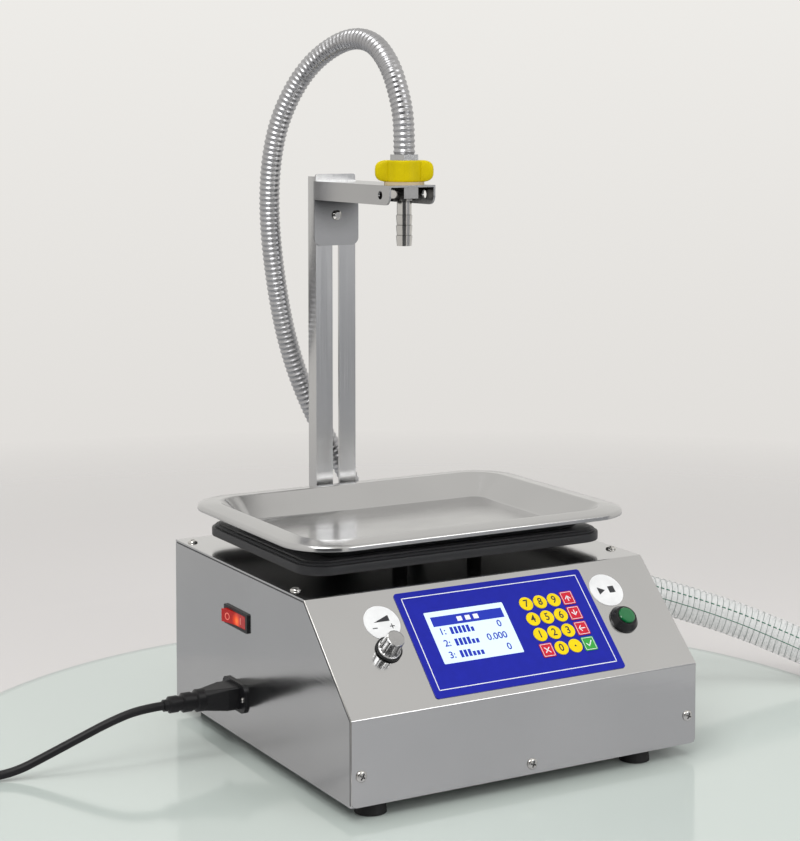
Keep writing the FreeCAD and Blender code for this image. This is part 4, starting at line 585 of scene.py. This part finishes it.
def make_suction_hose():
    """Clear hose: a wall between two radii, a wire wound at its face, a whole and a broken line on it."""
    clear = finish("hose_clear", (0.97, 0.98, 0.96), 0.2, gloss=0.35, alpha=0.36)
    wound = finish("hose_helix", (0.24, 0.27, 0.25), 0.4, gloss=0.2)
    line_ink = finish("hose_line", (0.03, 0.15, 0.09), 0.5)
    outside, inside, sides = 0.018, 0.0145, 40
    wire_centre, wire_radius, wire_pitch = 0.0179, 0.0004, 0.0064
    mark_centre, whole_radius, dash_radius = 0.0181, 0.0004, 0.0006
    whole_angle, dash_angle = 1.5, 0.92
    coarse_step, fine_step = 0.003, 0.0002
    # A dash and the way from one to the next, in fine steps.
    dash, repeat = 20, 32

    centre, _ = centre_line(route("suction_line", SUCTION_ROUTE), coarse_step)
    outer_face = around(centre, outside, UPWARDS, sides)
    inner_face = around(centre, inside, UPWARDS, sides)[::-1]
    wall = np.concatenate([outer_face, inner_face])
    faces = np.concatenate([grid_faces(len(wall), sides), closing(len(wall), sides)])
    outer = build("suction_hose_skin", wall.reshape(-1, 3), faces, [], clear, "machine", crease=50)
    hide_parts("suction_hose")
    fine, way = centre_line(route("suction_helix_line", SUCTION_ROUTE), fine_step)
    helix = around(fine, wire_centre, UPWARDS, 1, 2 * np.pi * way / wire_pitch)[:, 0]
    coil = skin(around(helix, wire_radius, SIDEWAYS, 4))
    winding = build("suction_hose_helix", *coil, wound, "machine", crease=80)
    along = around(centre, mark_centre, UPWARDS, 1, np.full(len(centre), whole_angle))[:, 0]
    beside = around(fine, mark_centre, UPWARDS, 1, np.full(len(fine), dash_angle))[:, 0]
    lines = [skin(around(along, whole_radius, UPWARDS, 5))]
    for start in range(0, len(fine) - repeat, repeat):
        lines.append(skin(around(beside[start:start + dash + 1:10], dash_radius, UPWARDS, 5)))
    marking = build("suction_hose_line", *joined(lines), line_ink, "machine", crease=80)


def make_power_cord():
    """Black round cord down to the floor, then five turns of a neat coil."""
    line = route("power_cord_line", CORD_ROUTE + coil_turns().tolist() + PLUG_END)
    line.name = "power_cord_skin"
    line.data.bevel_depth = 0.004
    line.data.bevel_resolution = 5
    line.data.use_fill_caps = True
    line.data.materials.append(CORD_BLACK)
    scene.collection.objects.link(line)
    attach(line, "machine")
    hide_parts("power_cord")
    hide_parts("power_cord_coil")


# Marks: digits, icons and lines as thin plates

def plate(outline, low, high):
    """Thin plate over a convex outline, from a low to a high level."""
    outline = np.asarray(outline, float)
    count = len(outline)
    return skin(np.stack([np.column_stack([outline, np.full(count, level)]) for level in (low, high)]))


def rectangle(left, foot, right, head):
    """The four corners of an upright rectangle."""
    return [(left, foot), (right, foot), (right, head), (left, head)]


def strokes(lines, width, low, high):
    """Plates along straight strokes, each half a width longer at both ends than its middle line."""
    shapes = []
    for line in lines:
        line = np.asarray(line, float)
        for start, end in zip(line, line[1:]):
            ahead = (end - start) / np.linalg.norm(end - start) * width / 2
            side = np.array([-ahead[1], ahead[0]])
            shapes.append(plate([start - ahead - side, end + ahead - side, end + ahead + side,
                                 start - ahead + side], low, high))
    return joined(shapes)


def figures(text, size, low, high, centre=(0, 0), wide=1.0):
    """Figures of the plain built-in typeface, a little bolder, as a thin plate round a centre."""
    bolder = 0.016
    curve = bpy.data.curves.new("figures", "FONT")
    curve.body = text
    curve.size = size
    curve.align_x = "CENTER"
    curve.align_y = "CENTER"
    curve.extrude = (high - low) / 2
    curve.offset = size * bolder
    curve.resolution_u = 4
    mesh, points = mesh_points(bpy.data.objects.new("figures", curve))
    points = points * [wide, 1, 1] + [centre[0], centre[1], (low + high) / 2]
    mesh.calc_loop_triangles()
    triangles = np.empty(len(mesh.loop_triangles) * 3, int)
    mesh.loop_triangles.foreach_get("vertices", triangles)
    return points, np.empty((0, 4), int), triangles.reshape(-1, 3)


def moved(shape, x, y):
    """The same shape, shifted in its own plane."""
    return shape[0] + [x, y, 0], shape[1], shape[2]


def on_panel(name, shape, material, body):
    """Piece of flat marks carried to the slope."""
    return build(name, on_slope(shape[0]), shape[1], shape[2], material, body, crease=20)


def ring_outline(radius):
    """Points round a circle, the last one on the first."""
    angle = np.linspace(0, 2 * math.pi, 24)
    return np.column_stack([radius * np.cos(angle), radius * np.sin(angle)])


# Heights above the slope of the surfaces that carry marks.
KEY_TOP = 1.3
OVERLAY_TOP = 0.8
SCREEN_TOP = 0.5
LABEL_TOP = 0.4
FIRST_KEY = (32.7, 85.3)
KEY_PITCH = (15.1, 16.4)
KEY_ROWS = (("7", "8", "9", "up"), ("4", "5", "6", "down"), ("1", "2", "3", "back"),
            ("cancel", "0", "point", "confirm"))
ICONS = {
    "up": [[(-2.6, -0.8), (0, 2.2), (2.6, -0.8)], [(0, 2.0), (0, -3)]],
    "down": [[(-2.6, 0.8), (0, -2.2), (2.6, 0.8)], [(0, -2.0), (0, 3)]],
    "back": [[(-0.6, 2.6), (-3, 0), (-0.6, -2.6)], [(-2.8, 0), (3, 0)]],
    "cancel": [[(-2.4, -2.4), (2.4, 2.4)], [(-2.4, 2.4), (2.4, -2.4)]],
    "confirm": [[(-2.8, 0), (-0.8, -2.4), (3, 2.6)]],
}


def make_key_marks():
    """Black figures on the round keys, white icons in a white frame on the square ones."""
    low, high = KEY_TOP - 0.02, KEY_TOP + 0.05
    edge = rectangle(-5.6, -6, 5.6, 6)
    icon_line, edge_line, figure_size, dot_radius = 0.9, 0.45, 10.5, 0.9
    for line, names in enumerate(KEY_ROWS):
        for column, name in enumerate(names):
            x = FIRST_KEY[0] + KEY_PITCH[0] * column
            row = FIRST_KEY[1] - KEY_PITCH[1] * line
            ink = BLACK_INK
            if name in ICONS:
                icon = strokes(ICONS[name], icon_line, low, high)
                shape = joined([icon, strokes([edge + edge[:1]], edge_line, low, high)])
                ink = WHITE_INK
            elif name == "point":
                shape = plate(ring_outline(dot_radius)[:-1], low, high)
            else:
                shape = figures(name, figure_size, low, high, wide=0.92)
            on_panel(f"mark_{name}", moved(shape, x, row), ink, f"cap_{name}")


def make_panel_prints():
    """White frame line on the overlay, and the display's title bar and three rows of bars and figures."""
    line = rectangle(-88.6, 14.5, 97.6, 108)
    frame_line = strokes([line + line[:1]], 0.8, OVERLAY_TOP - 0.02, OVERLAY_TOP + 0.06)
    on_panel("overlay_line", frame_line, WHITE_INK, "machine")
    low, high = SCREEN_TOP - 0.01, SCREEN_TOP + 0.06
    rows = (70, 58, 46)
    size = 9.5
    shapes = [figures("0", size, low, high, (-3, rows[0])),
              figures("0.000", size, low, high, (-10.5, rows[1])),
              figures("0", size, low, high, (-3, rows[2]))]
    for index, row in enumerate(rows):
        shapes.append(figures(f"{index + 1}:", size, low, high, (-62, row)))
    for index, row in enumerate(rows):
        for step in range(6):
            left = -54 + 4.2 * step
            tall = 3.6 if step < 5 - index else 1.0
            shapes.append(plate(rectangle(left, row - 3.6, left + 3, row + tall), low, high))
    on_panel("display_bar", plate(rectangle(-68.5, 75.8, 5.5, 85.7), low, high), BLUE_INK, "machine")
    on_panel("display_figures", joined(shapes), BLUE_INK, "machine")
    squares = [plate(rectangle(x - 2.6, 78.4, x + 2.6, 83.2), high, high + 0.05) for x in (-40, -31.5, -23)]
    on_panel("display_title", joined(squares), WHITE_INK, "machine")


def make_label_marks():
    """Flow label: a rising wedge between minus and plus. Start label: a triangle and a square."""
    low, high = LABEL_TOP - 0.01, LABEL_TOP + 0.04
    x, row = -116.0, 87.6
    wedge = plate([(x - 8, row + 1), (x + 8, row + 1), (x + 8, row + 7)], low, high)
    minus = [(x - 10.5, row - 4.5), (x - 6.5, row - 4.5)]
    plus = [[(x + 6.5, row - 4.5), (x + 10.5, row - 4.5)], [(x + 8.5, row - 6.5), (x + 8.5, row - 2.5)]]
    signs = strokes([minus] + plus, 0.9, low, high)
    on_panel("flow_label_marks", joined([wedge, signs]), BLACK_INK, "machine")
    x, row = 123.5, 88.1
    start = plate([(x - 9, row - 4), (x - 1.5, row), (x - 9, row + 4)], low, high)
    stop = plate(rectangle(x + 2.5, row - 3.5, x + 9, row + 3.5), low, high)
    on_panel("start_label_marks", joined([start, stop]), BLACK_INK, "machine")


# Turned, drawn and moulded pieces

def make_flow_knob():
    """Silver knob: the radius follows the profile, less a scoop at each flute; a black ring at its foot."""
    flutes, flute_depth, count = 12, 0.09, 144
    place = [-120.1, 60.6, 0]
    height = np.array([0.4, 0.5, 2.4, 3.2, 3.6, 4.4, 8, 12, 16, 17.8, 18.6, 19.0, 19.0])
    radius = np.array([10.4, 10.9, 10.9, 10.4, 9.6, 9.3, 9.0, 8.7, 8.4, 8.25, 7.9, 7.2, 0.4])
    rings = turned(np.column_stack([height, radius]), count)
    angle = np.linspace(0, 2 * np.pi, count, endpoint=False)
    scoop = np.clip(np.cos(angle * flutes), 0, 1) ** 0.7
    depth = np.interp(height, [3.5, 4.4, 17.8, 18.6], [0, flute_depth, flute_depth, 0])
    rings[..., :2] *= (1 - depth[:, None] * scoop)[..., None]
    points, quads, triangles = skin(rings)
    knob = build("flow_knob_skin", on_slope(points + place), quads, triangles, SILVER, "knob", crease=28)
    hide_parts("flow_knob")
    foot_profile = [(0.42, 10.5), (0.42, 11.7), (1.0, 12.1), (2.2, 12.1), (2.7, 11.6), (2.7, 10.5)]
    foot = turned(foot_profile, 96)
    faces = np.concatenate([grid_faces(len(foot), 96), closing(len(foot), 96)])
    build("flow_knob_ring", on_slope(foot.reshape(-1, 3) + place), faces, [], RUBBER, "knob")


def pan_head():
    """Pan head with a cross recess: a dome less a smooth cross-shaped well, over a flat foot."""
    radius, height = 5.0, 2.6
    arm_half, arm_reach, well_depth = 0.62, 2.9, 1.3
    arm_edge, reach_edge = 0.25, 0.5
    share = np.array([0.02, 0.06, 0.1, 0.14, 0.18, 0.22, 0.27, 0.33, 0.4, 0.48, 0.57, 0.66, 0.76, 0.86,
                      0.94, 1.0])
    angle = np.linspace(0, 2 * np.pi, 64, endpoint=False)
    x = radius * share[:, None] * np.cos(angle)
    y = radius * share[:, None] * np.sin(angle)
    dome = height * np.sqrt(np.clip(1 - 0.88 * share ** 2.6, 0, 1))[:, None]
    arm = np.minimum(np.abs(x), np.abs(y))
    reach = np.maximum(np.abs(x), np.abs(y))
    well = np.clip((arm_half - arm) / arm_edge, 0, 1) * np.clip((arm_reach - reach) / reach_edge, 0, 1)
    top = np.stack([x, y, dome - well_depth * well], axis=-1)[::-1]
    return skin(np.concatenate([turned([(0.0, 4.6), (0.0, radius)], 64), top]))


def make_screw_heads():
    """Each pan head turned by an angle of its own and faced up, down, forwards or backwards."""
    points, quads, triangles = pan_head()
    beside, low, high = 170.5, 38.0, 140.0
    places = [((x, y, TOP_Z), "z") for x in (-beside, beside) for y in (121.6, 348.0)]
    places += [((x, 0.0, z), "-y") for x, z in ((-beside, low), (beside, low), (0.0, 20.8))]
    places += [((x, DEPTH, z), "y") for x in (-beside, beside) for z in (low, high)]
    places += [((x, y, 5.75), "-z") for x in (-152, 124) for y in (18, 339)]
    facing = {
        "z": np.array([[1, 0, 0], [0, 1, 0], [0, 0, 1]]),
        "-z": np.array([[1, 0, 0], [0, -1, 0], [0, 0, -1]]),
        "-y": np.array([[1, 0, 0], [0, 0, -1], [0, 1, 0]]),
        "y": np.array([[1, 0, 0], [0, 0, 1], [0, -1, 0]]),
    }
    shapes = []
    for index, (spot, way) in enumerate(places):
        turn = 0.5 + 1.7 * index
        cosine, sine = math.cos(turn), math.sin(turn)
        spin = np.array([[cosine, -sine, 0], [sine, cosine, 0], [0, 0, 1]])
        shapes.append((placed(points @ spin.T @ facing[way].T + spot), quads, triangles))
    heads = build("pan_screw_heads", *joined(shapes), STEEL_BRIGHT, "machine", crease=40)
    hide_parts("pan_screws")


def make_platform():
    """Dark pan, open below: a wide band, a ledge and a smaller upper band follow a rounded rectangle."""
    length, width, foot = 325, 229, PLATFORM + [0, 9, 180]
    profile = [
        (100, 10.8, 4), (4, 10.8, 23), (3, 10.0, 24), (3, 1.0, 24), (2.4, 0.2, 24.6), (1.2, 0.0, 25.8),
        (0.3, 0.3, 26.7), (0.0, 1.2, 27), (0.0, 7.2, 27), (0.3, 8.0, 26.7), (1.0, 8.3, 26),
        (5.6, 8.3, 21.4), (6.2, 8.7, 20.8), (6.4, 11.2, 20.6), (6.8, 12.0, 20.2), (7.6, 12.3, 19.4),
        (100, 12.3, 4),
    ]
    points, quads, triangles = skin(rounded_rings(profile, length, width))
    pan = build("scale_platform_skin", placed(points + foot), quads, triangles, PLATFORM_DARK, "machine",
                crease=32)
    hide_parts("scale_platform")


def make_tray():
    """Drawn pan: rounded rings follow floor, sloping wall, lip and rolled rim, outside and then inside."""
    length, width, foot = 360, 270, PLATFORM + [0, 0, 192.3]
    profile = [
        (100, 0.0, 4), (60, 0.0, 8), (46, 0.0, 11), (44.2, 0.4, 12), (43, 1.4, 13),
        (21.0, 19.4, 34), (20.0, 19.9, 35), (17.0, 19.2, 37), (4.0, 18.6, 47), (1.0, 18.0, 48),
        (1.0, 15.2, 48), (0.5, 14.9, 48), (0.0, 15.3, 48), (0.0, 18.0, 48), (0.4, 19.2, 47.6),
        (1.4, 19.9, 46.6), (3.0, 20.4, 45), (16.0, 21.6, 37), (19.0, 22.0, 34.5), (20.5, 21.8, 33),
        (21.6, 20.9, 32), (43.2, 2.6, 13), (44.6, 1.4, 12), (46.5, 1.0, 11), (60, 1.0, 8), (100, 1.0, 4),
    ]
    points, quads, triangles = skin(rounded_rings(profile, length, width))
    tray = build("filling_tray_skin", placed(points + foot), quads, triangles, STEEL_TRAY, "tray",
                 crease=50)
    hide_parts("filling_tray")


def cabinet_side(inset):
    """The cabinet's side outline, moved inwards: up the front wall, the slope and back along the top."""
    return [(inset, 14), (inset, BEND_Z - inset * math.tan(math.pi / 4 - SLOPE_TILT / 2)),
            (SLOPE_RUN + inset * math.tan(SLOPE_TILT / 2), TOP_Z - inset), (DEPTH - 4, TOP_Z - inset)]


def make_seams():
    """Dark joint under the cover's edge on both side walls, and its bright rounded front edges."""
    joint_width, joint_inset, joint_top = 1.3, COVER_SHEET + 0.7, 0.06
    bead_radius, bead_sunk = COVER_SHEET / 2, 0.45
    joints, beads = [], []
    for side in (-1, 1):
        points, quads, triangles = strokes([cabinet_side(joint_inset)], joint_width, 0.0, joint_top)
        joints.append((on_wall(points, side), quads[:, ::side], triangles[:, ::side]))
        line = np.column_stack([cabinet_side(bead_radius), np.full(4, -bead_sunk)])
        beads.append(skin(around(on_wall(line, side)[:3], bead_radius / 1000, SIDEWAYS, 10)))
    build("cover_joints", *joined(joints), BLACK_INK, "machine", crease=20)
    build("cover_edges", *joined(beads), STEEL_BRIGHT, "machine", crease=50)


def make_wing_nut():
    """Two-winged nut: the radius is the larger of the core and of a wing whose end is round in height."""
    foot, heading = 525.7, math.radians(-29.6)
    core_radius, ripple, ripples = 17.4, 0.25, 12
    wing_root, wing_reach, wing_half = 17.5, 28.4, 6.4
    wing_middle, wing_rise, count = 10.3, 10.6, 160
    height = np.array([0, 0.0, 0.6, 1.6, 3.5, 6, 9, 11.6, 14.6, 17.1, 19.0, 20.0, 20.6, 20.6])
    shrink = np.array([0.75, 0.96, 0.99, 1, 1, 1, 1, 1, 1, 1, 1, 0.99, 0.96, 0.66])
    angle = np.linspace(0, 2 * np.pi, count, endpoint=False)
    wing = np.minimum(wing_reach, wing_half / np.maximum(np.abs(np.sin(angle)), 1e-3))
    ends = np.sqrt(np.clip(1 - np.abs((height - wing_middle) / wing_rise) ** 3.2, 0, 1))
    core = core_radius + ripple * np.cos(angle * ripples)
    reach = wing_root + np.clip(wing - wing_root, 0, None)[None, :] * ends[:, None]
    radius = np.maximum(core[None, :], reach) * shrink[:, None]
    turn = angle + heading
    rings = np.stack([radius * np.cos(turn), radius * np.sin(turn),
                      np.repeat((height + foot)[:, None], count, axis=1)], axis=-1)
    points, quads, triangles = skin(rings)
    nut = build("wing_nut_skin", placed(points + NOZZLE), quads, triangles, YELLOW, "wing_nut_body",
                crease=38)
    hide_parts("wing_nut")


def make_rocker_look():
    """Red rocker lit from inside near its middle; a ring mark at its proud end, a bar at the other."""
    red = finish("rocker_red", (0.42, 0.004, 0.004), 0.22, gloss=0.4,
                 glow=(1.0, 0.02, 0.0), glow_strength=0.15)
    tree = red.node_tree
    glow = ramped(tree, distance_from(tree, (-182.5, 221.5, 121.5)),
                  [(0.0015, (5.0, 1.6, 0.1)), (0.0038, (3.6, 0.35, 0.0)), (0.0075, (0.5, 0.01, 0.0))])
    wire(tree, (glow, tree.nodes["Principled BSDF"].inputs["Emission Color"]))
    for slot in nodes["switch_rocker"].material_slots:
        slot.material = red
    pale = finish("rocker_mark", (0.8, 0.30, 0.25), 0.4, glow=(1, 0.35, 0.25), glow_strength=0.25)
    pin_x, pin_y, pin_z = -179, 224.5, 123
    tilt = math.radians(7)
    face, rise = 3.0, 2.5 / 20.6

    def carry(points):
        """From along the rocker, up it and out of its face, turned by its rest angle about its pin."""
        along, up, out = np.moveaxis(points, -1, 0)
        out = out + face + np.abs(along) * rise
        back = along * math.cos(tilt) - out * math.sin(tilt)
        away = along * math.sin(tilt) + out * math.cos(tilt)
        return placed(np.stack([pin_x - away, pin_y + back, pin_z + up], axis=-1))

    low, high = 0.02, 0.12
    ring = moved(strokes([ring_outline(3.0)], 0.8, low, high), 12, 0)
    bar = strokes([[(-11, -2.6), (-11, 2.6)]], 0.9, low, high)
    for name, shape in (("rocker_ring_mark", ring), ("rocker_bar_mark", bar)):
        build(name, carry(shape[0]), shape[1], shape[2], pale, "rocker", crease=20)


def make_floor():
    """Pale floor: a round glassy middle with a thin edge line, and matt round it, fading to the wall."""
    rim, reflecting, matt = 0.4712, 0.1, 0.9
    material = finish("table_glass", (0.5, 0.58, 0.5), reflecting, gloss=0.6)
    tree = material.node_tree
    shader = tree.nodes["Principled BSDF"]
    way = distance_from(tree, (-36.6, 124, 0))
    tone = ramped(tree, way, [(0.467, (0.57, 0.625, 0.58)), (rim, (0.40, 0.45, 0.42)),
                              (0.476, (0.70, 0.67, 0.645))])
    rays = tree.nodes.new("ShaderNodeLightPath")
    share, unseen, seen, result = colour_mix(tree)
    unseen.default_value = (0.54, 0.54, 0.54, 1)
    wire(tree,
         (rays.outputs["Is Camera Ray"], share),
         (tone, seen),
         (result, shader.inputs["Base Color"]),
         (ranged(tree, way, 0.7, 1.9, 1, 0), shader.inputs["Alpha"]),
         (ranged(tree, way, 0.471, 0.472, reflecting, matt), shader.inputs["Roughness"]))
    flat_card("table_top", 4.4, 4.4, -0.0004, material)


make_camera()
make_lamps()
make_world()
finish_nodes()
make_filling_hose()
make_suction_hose()
make_power_cord()
make_key_marks()
make_panel_prints()
make_label_marks()
make_flow_knob()
make_screw_heads()
make_platform()
make_tray()
make_seams()
make_wing_nut()
make_rocker_look()
make_floor()
